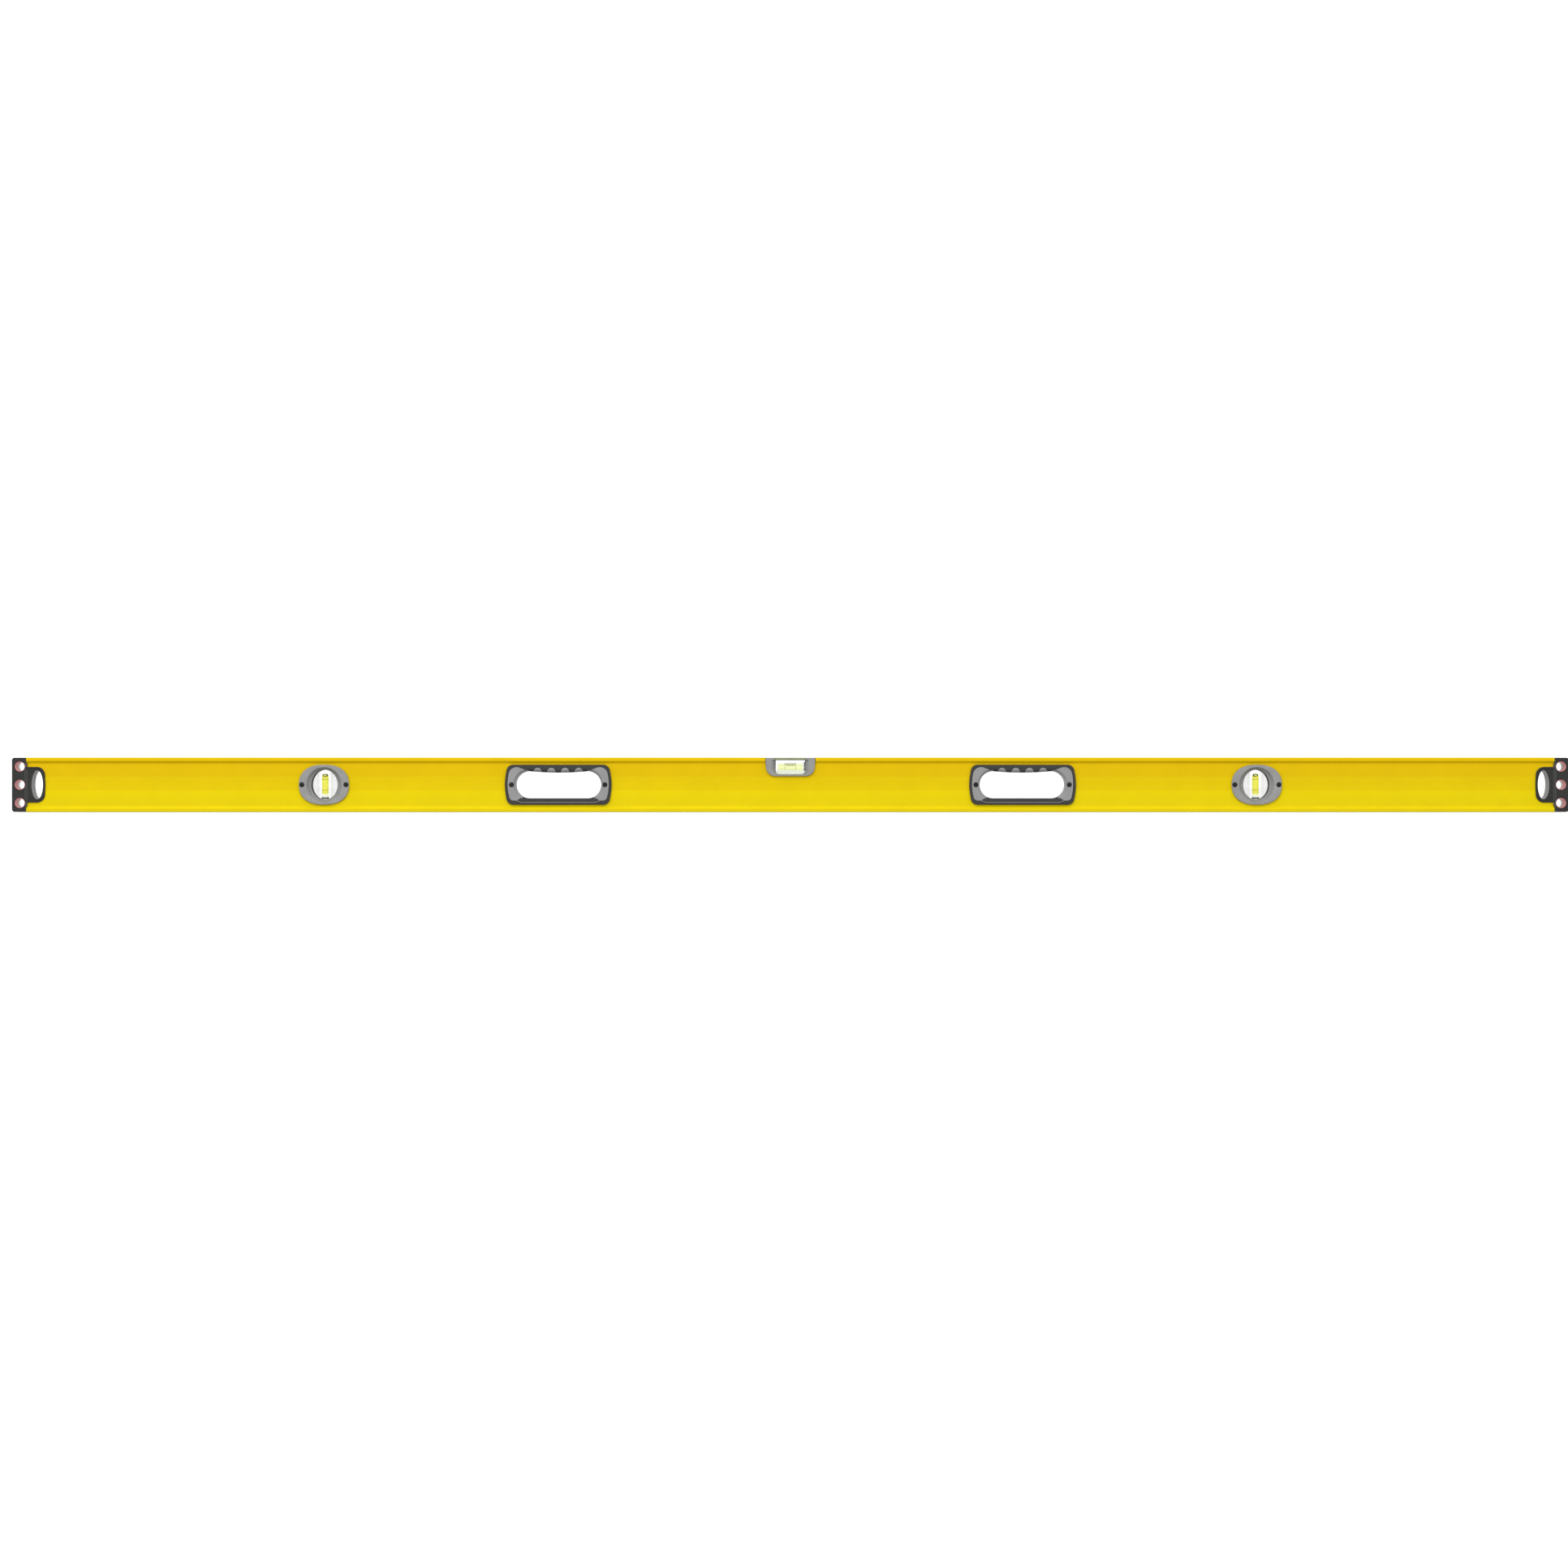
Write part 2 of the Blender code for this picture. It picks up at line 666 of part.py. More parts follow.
def bezel(screw_holes):
    """Moulded half of a plumb vial's housing: flange, dish, window lip and the pocket for the block."""
    top = FLANGE_HALF_HEIGHT
    edge = oval(BEZEL_HALF_WIDTH, top, BEZEL_POWER)
    bevelled = oval(BEZEL_HALF_WIDTH - BEZEL_BEVEL, top - BEZEL_BEVEL, BEZEL_POWER)
    dish = oval(PLUMB_HALF_WIDTH + BEZEL_DISH, PLUMB_HALF_HEIGHT + BEZEL_DISH / 2)
    window = oval(PLUMB_HALF_WIDTH, PLUMB_HALF_HEIGHT)
    pocket = oval(*PLUMB_POCKET)
    collar = oval(*PLUMB_COLLAR)
    spigot = oval(PLUMB_COLLAR[0] + SPIGOT - GAP, PLUMB_COLLAR[1])
    floor = PLUMB_BLOCK + GAP
    sill = floor + LIP
    made = loft([
        (edge, SEATED), (edge, FACE - BEZEL_BEVEL), (bevelled, FACE), (dish, FACE - BEZEL_DISH_SINK),
        (window, sill), (window, floor), (pocket, floor), (pocket, SPLIT), (collar, SPLIT),
        (collar, (sill + SEATED) / 2), (spigot, SEATED),
    ], closed=True)
    join(made, *[rod(BOSS_RADIUS, SPLIT, SEATED + MM, centre=centre)
                 for centre in screw_centres(PLUMB_SCREW)])
    return cut(made, *screw_holes)


def plumb_block():
    """Clear block: an oval plate with a thicker upright column, bored from below for the vial."""
    outline = oval(PLUMB_POCKET[0] - GAP, PLUMB_POCKET[1] - GAP)
    column = [(max(-PLUMB_COLUMN, min(PLUMB_COLUMN, x)), z) for x, z in outline]
    made = join(prism([outline], -PLUMB_PLATE, PLUMB_PLATE), prism([column], -PLUMB_BLOCK, PLUMB_BLOCK))
    return cut(made, rod(PLUMB_BORE, -THROUGH, PLUMB_HALF_LENGTH, ALONG_Z))


def vial_plug(bore, low, high, along):
    """Stopper in the open end of a vial, grooved for its seal."""
    radius = bore - GAP
    groove = radius - PLUG_GROOVE
    third = (high - low) / 3
    return turned([
        (0, high), (radius, high), (radius, high - third), (groove, high - third),
        (groove, low + third), (radius, low + third), (radius, low), (0, low),
    ], along)


def marking_ring(bore, along):
    outer = bore - GAP
    return tube(outer, outer - RING_WALL, -RING_WIDTH / 2, RING_WIDTH / 2, along)


def fluid_radius(bore):
    return bore - RING_WALL - 2 * GAP


def plumb_fluid():
    """The liquid, with the bubble's path left open through its middle."""
    reach = PLUMB_HALF_LENGTH - GAP
    path = PLUMB_BUBBLE[0] + GAP
    return tube(fluid_radius(PLUMB_BORE), path, -reach, reach)


def plumb_bubble_height():
    """The bubble floats against the upper end of the barrel."""
    return PLUMB_HALF_LENGTH - GAP - PLUMB_BUBBLE[1]


# The level vial; its pieces are built at their own height, with Z from the lower working face

def level_housing():
    """Moulded half of the level vial's housing, flush with the upper working face."""
    face = FACE
    top = CAP_SHY
    flange = loft([
        (housing_outline(top=top), SEATED),
        (housing_outline(top=top), face - BEZEL_BEVEL),
        (housing_outline(BEZEL_BEVEL, top=top + BEZEL_BEVEL / 2), face),
    ])
    skirt = prism([housing_outline(LUG_LAP + GAP, top=top)], SPLIT, SEATED + MM)
    side = HOUSING_HALF_WIDTH
    saddle = box((-side, -SEATED - MM, MID + WEB_HALF_HEIGHT), (side, -SPLIT, HEIGHT - top))
    made = join(flange, skirt, saddle)
    floor = LEVEL_BLOCK + GAP
    pocket = prism([window_outline(SEAT, SEAT - LIP, WINDOW_TOP - LIP)], -MM, floor)
    opening = prism([window_outline()], 0, THROUGH)
    sill = floor + LIP
    over = GAP * WINDOW_FLARE / (face - sill)
    flare = loft([
        (window_outline(), sill),
        (window_outline(WINDOW_FLARE + over, WINDOW_FLARE_FOOT, WINDOW_TOP - LIP / 2), face + GAP),
    ])
    half = WINDOW_HALF_WIDTH
    top_window = box((-half, -TOP_WINDOW_HALF_DEPTH, HEIGHT - WINDOW_TOP - MM), (half, MM, HEIGHT + MM))
    return cut(made, pocket, opening, flare, top_window)


def level_block():
    outline = window_outline(SEAT - GAP, SEAT - LIP - GAP, WINDOW_TOP - LIP + GAP)
    made = prism([outline], -LEVEL_BLOCK, LEVEL_BLOCK)
    bore = rod(LEVEL_BORE, -LEVEL_HALF_LENGTH, THROUGH, ALONG_X, centre=(0, LEVEL_AXIS))
    return cut(made, bore)


def level_fluid():
    """The liquid, with the bubble's path open along its top."""
    reach = LEVEL_HALF_LENGTH - GAP
    path = LEVEL_BUBBLE[1] + GAP
    made = rod(fluid_radius(LEVEL_BORE), -reach, reach, ALONG_X)
    return cut(made, rod(path, -THROUGH, THROUGH, ALONG_X, centre=(0, LEVEL_BUBBLE_RISE)))


# Assembly: each function makes one assembly's pieces once, and places them wherever it is repeated

def sides():
    return ("left", -1), ("right", 1)


def build_beam():
    place(solid("beam", beam(), YELLOW), "beam", assembly("body", (0, 0, 0)))


def build_ends():
    cap = solid("end_cap", end_cap(), RUBBER)
    liner = solid("bore_liner", bore_liner(), LINER)
    for name, side in sides():
        holder = assembly(f"{name}_end", (side * LENGTH / 2, 0, MID), turn=math.pi if side > 0 else 0)
        place(cap, f"end_cap_{name}", holder)
        for level, up in zip(("lower", "middle", "upper"), bore_heights()):
            place(liner, f"bore_liner_{name}_{level}", holder, (BORE_FROM_END, 0, up))


def place_screws(mesh, group, holder, offset):
    for label, (across, up) in zip(("a", "b"), screw_centres(offset)):
        place(mesh, f"{group}_{label}", holder, (across, 0, up))


def build_handles():
    frame_front = solid("handle_frame_front", handle_frame(front_screw_holes(HANDLE_SCREW)), GREY)
    frame_rear = rear_twin(solid("handle_frame_rear", handle_frame(rear_screw_holes(HANDLE_SCREW)), GREY))
    grip = solid("handle_grip", handle_grip(), RUBBER)
    grip_rear = rear_twin(grip)
    fixing = solid("handle_screw", screw(screw_seat() + GAP), STEEL)
    for name, side in sides():
        holder = assembly(f"{name}_handle", (side * HANDLE_OFFSET, 0, MID))
        place(frame_front, f"handle_frame_front_{name}", holder)
        place(frame_rear, f"handle_frame_rear_{name}", holder)
        place(grip, f"handle_grip_front_{name}", holder)
        place(grip_rear, f"handle_grip_rear_{name}", holder)
        place_screws(fixing, f"handle_screw_{name}", holder, HANDLE_SCREW)


def build_plumbs():
    bezel_front = solid("plumb_bezel_front", bezel(front_screw_holes(PLUMB_SCREW)), GREY)
    bezel_rear = rear_twin(solid("plumb_bezel_rear", bezel(rear_screw_holes(PLUMB_SCREW)), GREY))
    block = solid("plumb_block", plumb_block(), CLEAR)
    foot = 2 * GAP - oval_height(*PLUMB_POCKET, PLUMB_BORE)
    plug = solid("plumb_plug", vial_plug(PLUMB_BORE, foot, -PLUMB_HALF_LENGTH - GAP, ALONG_Z), CLEAR)
    fluid = solid("plumb_fluid", plumb_fluid(), FLUID)
    bubble = solid("plumb_bubble", ellipsoid(PLUMB_BUBBLE[0], PLUMB_BUBBLE[0], PLUMB_BUBBLE[1]), BUBBLE)
    ring = solid("plumb_ring", marking_ring(PLUMB_BORE, ALONG_Z), MARK)
    fixing = solid("plumb_screw", screw(screw_seat() + GAP), STEEL)
    for name, side in sides():
        holder = assembly(f"{name}_plumb", (side * (LENGTH / 2 - PLUMB_FROM_END), 0, MID))
        place(bezel_front, f"plumb_bezel_front_{name}", holder)
        place(bezel_rear, f"plumb_bezel_rear_{name}", holder)
        place(block, f"plumb_block_{name}", holder)
        place(plug, f"plumb_plug_{name}", holder)
        place(fluid, f"plumb_fluid_{name}", holder)
        place(bubble, f"plumb_bubble_{name}", holder, (0, 0, plumb_bubble_height()))
        place(ring, f"plumb_ring_{name}_upper", holder, (0, 0, RING_OFFSET))
        place(ring, f"plumb_ring_{name}_lower", holder, (0, 0, -RING_OFFSET))
        place_screws(fixing, f"plumb_screw_{name}", holder, PLUMB_SCREW)


def build_level_vial():
    holder = assembly("level_vial", (0, 0, 0))
    housing = solid("level_housing", level_housing(), GREY)
    place(housing, "level_housing_front", holder)
    place(rear_twin(housing), "level_housing_rear", holder)
    place(solid("level_block", level_block(), CLEAR), "level_block", holder)
    stop = WINDOW_HALF_WIDTH + SEAT - GAP
    plug = solid("level_plug", vial_plug(LEVEL_BORE, LEVEL_HALF_LENGTH + GAP, stop, ALONG_X), CLEAR)
    place(plug, "level_plug", holder, (0, 0, LEVEL_AXIS))
    place(solid("level_fluid", level_fluid(), FLUID), "level_fluid", holder, (0, 0, LEVEL_AXIS))
    bubble = solid("level_bubble", ellipsoid(*LEVEL_BUBBLE), BUBBLE)
    place(bubble, "level_bubble", holder, (0, 0, LEVEL_AXIS + LEVEL_BUBBLE_RISE))
    ring = solid("level_ring", marking_ring(LEVEL_BORE, ALONG_X), MARK)
    place(ring, "level_ring_left", holder, (-RING_OFFSET, 0, LEVEL_AXIS))
    place(ring, "level_ring_right", holder, (RING_OFFSET, 0, LEVEL_AXIS))


clear_scene()
LEVEL = collection("spirit_level")
CUTTERS = collection("cutters")
YELLOW = finish("yellow_paint", (0.80, 0.58, 0.005), 0.35)
RUBBER = finish("black_rubber", (0.030, 0.030, 0.032), 0.65)
LINER = finish("pink_liner", (0.72, 0.30, 0.30), 0.5)
GREY = finish("grey_plastic", (0.30, 0.30, 0.29), 0.45)
STEEL = finish("black_steel", (0.02, 0.02, 0.02), 0.4, metallic=0.8)
CLEAR = finish("clear_acrylic", (0.85, 0.88, 0.87), 0.05)
FLUID = finish("yellow_fluid", (0.80, 0.85, 0.10), 0.1)
BUBBLE = finish("bubble", (0.95, 0.98, 0.90), 0.05)
MARK = finish("black_marking", (0.02, 0.02, 0.02), 0.5)

build_beam()
build_ends()
build_handles()
build_plumbs()
build_level_vial()
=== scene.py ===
"""Looks of a box-beam spirit level, shaped around its fixed frame.

X runs along the beam, Y through its depth (the front is -Y), Z is up from the lower working face.
Lengths are written in millimetres times MM. A moulding is shaped about its own middle, with
"front" as the distance in front of the middle plane, and is then placed in its mesh.
"""

import math

import bmesh
import bpy
from mathutils import Matrix, Vector


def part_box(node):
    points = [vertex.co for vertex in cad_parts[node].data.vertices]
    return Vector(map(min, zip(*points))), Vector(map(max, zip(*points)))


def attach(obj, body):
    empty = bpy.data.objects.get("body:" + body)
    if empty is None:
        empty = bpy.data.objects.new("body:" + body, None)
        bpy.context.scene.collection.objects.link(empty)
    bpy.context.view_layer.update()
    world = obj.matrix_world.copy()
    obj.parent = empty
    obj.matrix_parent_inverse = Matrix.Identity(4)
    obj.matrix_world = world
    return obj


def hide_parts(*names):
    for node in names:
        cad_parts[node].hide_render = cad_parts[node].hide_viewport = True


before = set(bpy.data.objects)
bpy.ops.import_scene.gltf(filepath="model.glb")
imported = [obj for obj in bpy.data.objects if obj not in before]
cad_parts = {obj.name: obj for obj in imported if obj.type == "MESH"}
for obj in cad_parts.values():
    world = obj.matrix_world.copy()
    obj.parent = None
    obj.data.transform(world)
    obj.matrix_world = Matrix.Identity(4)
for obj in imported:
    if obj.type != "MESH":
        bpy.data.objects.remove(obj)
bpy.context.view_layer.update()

MM = 0.001
scene = bpy.context.scene


# ---------------------------------------------------------------- sizes

def middle(node):
    low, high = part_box(node)
    return (low + high) / 2


HALF_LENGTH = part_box("end_cap_right")[1].x
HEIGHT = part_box("beam")[1].z
MID = HEIGHT / 2
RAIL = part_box("beam")[1].y  # the rails' outer faces
HANDLES = {side: middle(f"handle_grip_front_{side}").x for side in ("left", "right")}
PLUMBS = {side: middle(f"plumb_block_{side}").x for side in ("left", "right")}

GAP = 0.3 * MM
SPLIT = 0.15 * MM
WELD = 1e-6
BEYOND = 1.0 * MM  # how far a cutter runs past the face it opens

# Beam section
RAIL_FACE = 4.0 * MM
RAIL_STEP = 2.8 * MM
WEB = RAIL - 3.0 * MM
CAVITY = WEB - 1.8 * MM
EDGE_WALL = 2.5 * MM
EDGE_RADIUS = 1.2 * MM
SHOULDER_RADIUS = 0.9 * MM
VALLEY_RADIUS = 1.1 * MM
WEB_HALF_HEIGHT = MID - RAIL_FACE - RAIL_STEP
SEATED = WEB + GAP
FACE = RAIL - 0.1 * MM
FLANGE_HALF_HEIGHT = WEB_HALF_HEIGHT - 1.6 * MM

# Screws
SHANK_RADIUS = 1.5 * MM
HEAD_RADIUS = 2.7 * MM
HEAD_HEIGHT = 1.2 * MM
BOSS_RADIUS = 3.0 * MM
THREAD_DEPTH = 8.0 * MM
SCREW_SEAT = FACE - HEAD_HEIGHT - 2 * GAP

# End caps, measured inwards from the outer end
CAP_REACH = 16.7 * MM
CAP_SHY = 0.2 * MM
CAP_CORNER = 3.0 * MM
CAP_ROUND = 0.9 * MM
CAP_RAMP = 15.2 * MM
CAP_LAP = 17.9 * MM
TONGUE_REACH = 26 * MM
BORE_RADIUS = 5.5 * MM
LINER_WALL = 0.6 * MM
BORE_FROM_END = 9.35 * MM
BORE_RISE = MID - 10.6 * MM
LUG_REACH = 39.1 * MM
LUG_HALF_HEIGHT = WEB_HALF_HEIGHT - 4.3 * MM
LUG_CORNER = 9.5 * MM
LUG_BULGE = 1.0 * MM
LUG_FACE = SEATED + 1.3 * MM
LUG_RIM = 1.8 * MM
LUG_POCKET = 0.9 * MM
HANG_CENTRE = 29.4 * MM
HANG_HALF_WIDTH = 6.7 * MM
HANG_HALF_HEIGHT = LUG_HALF_HEIGHT - 4.0 * MM

# Hand holes
HAND_HALF_WIDTH = 50.4 * MM
HAND_HALF_HEIGHT = FLANGE_HALF_HEIGHT - 7.7 * MM
HAND_SAG = 1.7 * MM
HANDLE_HALF_WIDTH = HAND_HALF_WIDTH + 13.2 * MM
HANDLE_SIDE_TAPER = 4.0 * MM
HANDLE_CORNER = 8.0 * MM
SKIRT_WALL = 2.8 * MM
SKIRT_END = 8.0 * MM
FRAME_FACE = SEATED + 1.3 * MM
GRIP_RIM = 2.6 * MM
GRIP_ROUND = 1.0 * MM
FINGER_PITCH = 16.1 * MM
FINGER_RADIUS = 5.0 * MM
HANDLE_SCREW = HAND_HALF_WIDTH + (SKIRT_END + GAP) / 2 + GAP
PAD_SHARE = 0.97  # of a pad's radius, where the hand hole's edge crosses it
LONG_EDGE = 31.8 * MM  # half of the hand hole's straight edge
SILL_DROP = 1.5 * MM  # how much wider the mouth is along its lower edge
SILL_LINE = 0.9 * MM  # the frame's thin strip that shows under the mouth
MOUTH = [  # (wider by, below the face): the hand hole's mouth
    (0.0, 3.2), (0.06, 2.95), (0.25, 2.7), (1.3, 1.6), (2.3, 0.55), (2.62, 0.25), (2.95, 0.07), (3.4, -0.03),
]

# Plumb vials
PLUMB_HALF_WIDTH = 15.3 * MM
PLUMB_HALF_HEIGHT = FLANGE_HALF_HEIGHT - 6.0 * MM
BEZEL_HALF_WIDTH = 29.5 * MM
BEZEL_POWER = 2.35
BEZEL_ROUND = 1.2 * MM
DISH_MOUTH = (20.7, 20.4)  # half width and height of the dish at the face, in millimetres
DISH_RUN = (4.9, 2.4)  # how much narrower it gets towards the window, in millimetres
DISH_START = 0.45 * MM
DISH_DEPTH = 5.4 * MM
SEAT = 1.7 * MM
PLUMB_BORE = 4.7 * MM
PLUMB_BLOCK = 6.4 * MM
PLUMB_POCKET = (PLUMB_HALF_WIDTH + SEAT, PLUMB_HALF_HEIGHT + SEAT)
PLUMB_COLLAR = (PLUMB_POCKET[0] + 1.4 * MM, PLUMB_POCKET[1] + 1.4 * MM)
PLUMB_SCREW = BEZEL_HALF_WIDTH - HEAD_RADIUS - 3 * GAP
PLUMB_COLUMN = 8.0 * MM
PLUMB_HALF_LENGTH = PLUMB_POCKET[1] - 5.9 * MM
LIP = 1.2 * MM
RING_OFFSET = 6.4 * MM

# Level vial
LEVEL_BORE = 5.3 * MM
LEVEL_BLOCK = 7.0 * MM
LEVEL_HALF_LENGTH = 15.1 * MM
LEVEL_AXIS = HEIGHT - 10.2 * MM
HOUSING_HALF_WIDTH = 29.4 * MM
HOUSING_DROP = 22.0 * MM
HOUSING_TAPER = 1.2 * MM
HOUSING_CORNER = 11.0 * MM
WINDOW_HALF_WIDTH = 17.2 * MM
WINDOW_TOP = 3.1 * MM
WINDOW_DROP = 19.4 * MM
WINDOW_CORNER = 4.0 * MM
TOP_WINDOW_HALF_DEPTH = 5.6 * MM
BAND_HALF_WIDTH = 19 * MM  # of the band of olive-tinted painted shade over the window

ALONG_X = Matrix(((0, 0, 1, 0), (1, 0, 0, 0), (0, 1, 0, 0), (0, 0, 0, 1)))
ALONG_Y = Matrix(((1, 0, 0, 0), (0, 0, -1, 0), (0, 1, 0, 0), (0, 0, 0, 1)))
ALONG_Z = Matrix.Identity(4)
TO_BACK = Matrix.Scale(-1, 4, (0, 1, 0))
TURNED_ROUND = Matrix.Rotation(math.pi, 4, "Z")


# ---------------------------------------------------------------- outlines, as (across, up) points

def rounded(corners, steps=8):
    """Polygon from (across, up, radius) corners, each turned into an arc."""
    outline = []
    for index, (across, up, radius) in enumerate(corners):
        corner = Vector((across, up))
        before = Vector(corners[index - 1][:2]) - corner
        after = Vector(corners[(index + 1) % len(corners)][:2]) - corner
        if radius <= 0:
            outline.append(corner)
            continue
        half = before.angle(after) / 2
        reach = radius / math.tan(half)
        centre = corner + (before.normalized() + after.normalized()).normalized() * radius / math.sin(half)
        start = corner + before.normalized() * reach - centre
        end = corner + after.normalized() * reach - centre
        turn = start.angle_signed(end)
        for step in range(steps + 1):
            outline.append(centre + Matrix.Rotation(-turn * step / steps, 2) @ start)
    return [tuple(point) for point in outline]


def oval(half_width, half_height, power=2.0, steps=112, centre=(0, 0)):
    """Superellipse; a power of 2 is an ellipse, and more is squarer."""
    outline = []
    for step in range(steps):
        angle = math.tau * (step + 0.5) / steps
        across = math.copysign(abs(math.cos(angle)) ** (2 / power), math.cos(angle))
        up = math.copysign(abs(math.sin(angle)) ** (2 / power), math.sin(angle))
        outline.append((centre[0] + half_width * across, centre[1] + half_height * up))
    return outline


def symmetric(side, steps=8):
    """The rounded outline whose right half has these corners, listed from bottom to top."""
    return rounded(side + [(-across, up, radius) for across, up, radius in reversed(side)], steps)


def swapped(outline):
    return [(-across, up) for across, up in outline]


def shifted(outline, across, up=0.0):
    return [(x + across, z + up) for x, z in outline]


def two_sided(stations):
    """(inset, front) stations from the middle plane out, mirrored to the back as well."""
    return [(inset, -front) for inset, front in reversed(stations)] + stations


def both_ways(half):
    """The upper half of a turned profile, and the same again below."""
    return half[:-1] + [(radius, -height) for radius, height in reversed(half[1:])]


def finger_spots():
    return [((step - 1.5) * FINGER_PITCH, HAND_HALF_HEIGHT - HAND_SAG + MM) for step in range(4)]


def edge_spots():
    """Where the hand hole's long edges have points: at both sides of each finger pad, and between."""
    shares = (-PAD_SHARE, -0.33, 0.33, PAD_SHARE)
    spots = [across + share * FINGER_RADIUS for across, _ in finger_spots() for share in shares]
    return [-LONG_EDGE, *spots, LONG_EDGE]


def hand_opening(grow=0.0, sill=0.0):
    """The hand hole; its upper edge sags, and its lower edge drops by a further sill."""
    radius = HAND_HALF_HEIGHT + grow
    straight = HAND_HALF_WIDTH - HAND_HALF_HEIGHT
    ends = 20
    outline = []
    for side in (1, -1):
        for step in range(ends + 1):
            angle = math.pi * (step / ends - 0.5)
            outline.append((side * (straight + radius * math.cos(angle)), side * radius * math.sin(angle)))
        for across in reversed(edge_spots()):
            sag = HAND_SAG * (1 - (across / straight) ** 2) if side > 0 else 0
            outline.append((side * across, side * radius - sag))
    return [(x, z - sill * min(1, max(0, (-z / radius - 0.55) / 0.45))) for x, z in outline]


def handle_outline(inset=0.0):
    """The handle's outer edge: a rounded oblong whose ends bulge."""
    top = FLANGE_HALF_HEIGHT - inset
    end = HANDLE_HALF_WIDTH - inset
    corner = HANDLE_CORNER - inset
    return symmetric([
        (end - HANDLE_SIDE_TAPER, -top, corner), (end, 0, 8 * corner), (end - HANDLE_SIDE_TAPER, top, corner),
    ])


def skirt_outline(grow=0.0):
    half_width = HAND_HALF_WIDTH + SKIRT_END + grow
    half_height = HAND_HALF_HEIGHT + SKIRT_WALL + grow
    corner = HAND_HALF_HEIGHT - SKIRT_WALL + grow
    return symmetric([(half_width, -half_height, corner), (half_width, half_height, corner)], steps=16)


def end_window(inset=0.0):
    """The right-hand gap in the rubber, where the frame shows; it runs into the hand hole."""
    top = FLANGE_HALF_HEIGHT - GRIP_RIM - inset
    end = HANDLE_HALF_WIDTH - GRIP_RIM - inset
    inside = HAND_HALF_WIDTH - HAND_HALF_HEIGHT
    return rounded([
        (inside, 0, 0),
        (inside + 7 * MM + inset, -HAND_HALF_HEIGHT + 2 * MM, 0),
        (end - 12 * MM, -top + 2 * MM, 4 * MM),
        (end - HANDLE_SIDE_TAPER, -top + 2 * MM, 5 * MM),
        (end, 0, 60 * MM),
        (end - HANDLE_SIDE_TAPER, top, 9 * MM),
        (end - 14 * MM, top, 6 * MM),
        (inside + 1 * MM + inset, HAND_HALF_HEIGHT + 0.5 * MM, 0),
    ])


def sill_strip(inset=0.0):
    """The frame's thin strip under the hand hole, bent up to the end windows."""
    top = -HAND_HALF_HEIGHT - 2.9 * MM - SILL_DROP - inset
    low = top - SILL_LINE + 2 * inset
    flat, end, lift = 43 * MM, 49 * MM, 2.2 * MM
    return symmetric([
        (flat, low, 6 * MM), (end, low + lift, 0), (end, top + lift, 0), (flat, top, 6 * MM),
    ], steps=5)


def cap_outline(inset=0.0):
    top = MID - CAP_SHY - inset
    corner = CAP_CORNER - inset / 2
    return rounded([
        (inset, -top, corner), (CAP_REACH - inset, -top, 0.3 * MM), (CAP_REACH - inset, top, 0.3 * MM),
        (inset, top, corner),
    ])


def lug_outline(inset=0.0, start=CAP_REACH):
    """The end cap's lug out to its bulged inner end."""
    half_height = LUG_HALF_HEIGHT - inset
    reach = LUG_REACH - inset
    corner = LUG_CORNER - inset
    return rounded([
        (start, -half_height, 0), (reach - LUG_BULGE, -half_height, corner), (reach, 0, 8 * corner),
        (reach - LUG_BULGE, half_height, corner), (start, half_height, 0),
    ], steps=10)


def housing_outline(inset=0.0, top=0.0):
    """The level vial's housing: straight across the top and round at its lower corners."""
    side = HOUSING_HALF_WIDTH - inset
    low = HEIGHT - HOUSING_DROP + inset
    return symmetric([
        (side - HOUSING_TAPER, low, HOUSING_CORNER - inset), (side, HEIGHT - top, 0.2 * MM),
    ], steps=12)


def window_outline(flare=0.0, foot=0.0, top=WINDOW_TOP):
    side = WINDOW_HALF_WIDTH + flare
    return symmetric([
        (side, HEIGHT - WINDOW_DROP - foot, WINDOW_CORNER + flare / 2), (side, HEIGHT - top, 0.2 * MM),
    ], steps=8)


# ---------------------------------------------------------------- shaping meshes

def loose(name, mesh):
    """Object in the scene, to shape with or to keep as a finished piece."""
    item = bpy.data.objects.new(name, mesh)
    scene.collection.objects.link(item)
    return item


def evaluated(item):
    """The object's mesh with its modifiers applied."""
    bpy.context.view_layer.update()
    return bpy.data.meshes.new_from_object(item.evaluated_get(bpy.context.evaluated_depsgraph_get()))


def made(item, mesh=None):
    """Takes the shaped mesh, or another made from it, off its object."""
    mesh = mesh or item.data
    bpy.data.objects.remove(item, do_unlink=True)
    return mesh


def edited(item, change):
    """Runs change on the object's mesh, and turns all faces outwards."""
    shape = bmesh.new()
    shape.from_mesh(item.data)
    change(shape)
    bmesh.ops.remove_doubles(shape, verts=shape.verts, dist=WELD)
    bmesh.ops.recalc_face_normals(shape, faces=shape.faces)
    shape.to_mesh(item.data)
    shape.free()
    return item


def shaped(name, change):
    return edited(loose(name, bpy.data.meshes.new(name)), change)


def neighbours(loops, closed):
    return list(zip(loops, loops[1:])) + ([(loops[-1], loops[0])] if closed else [])


def loft(rings, closed=False):
    """Skin through (outline, front) rings; it runs back to its first ring, or has flat ends."""
    def skin(shape):
        loops = [[shape.verts.new((x, -front, z)) for x, z in outline] for outline, front in rings]
        count = len(loops[0])
        for near, far in neighbours(loops, closed):
            for step in range(count):
                following = (step + 1) % count
                shape.faces.new((near[step], near[following], far[following], far[step]))
        if not closed:
            shape.faces.new(loops[0])
            shape.faces.new(loops[-1])

    return shaped("loft", skin)


def moulded(outline, stations):
    """Solid through outline(inset) at each (inset, front) station."""
    return loft([(outline(inset), front) for inset, front in stations])


def block(outline, low, high):
    return loft([(outline, low), (outline, high)])


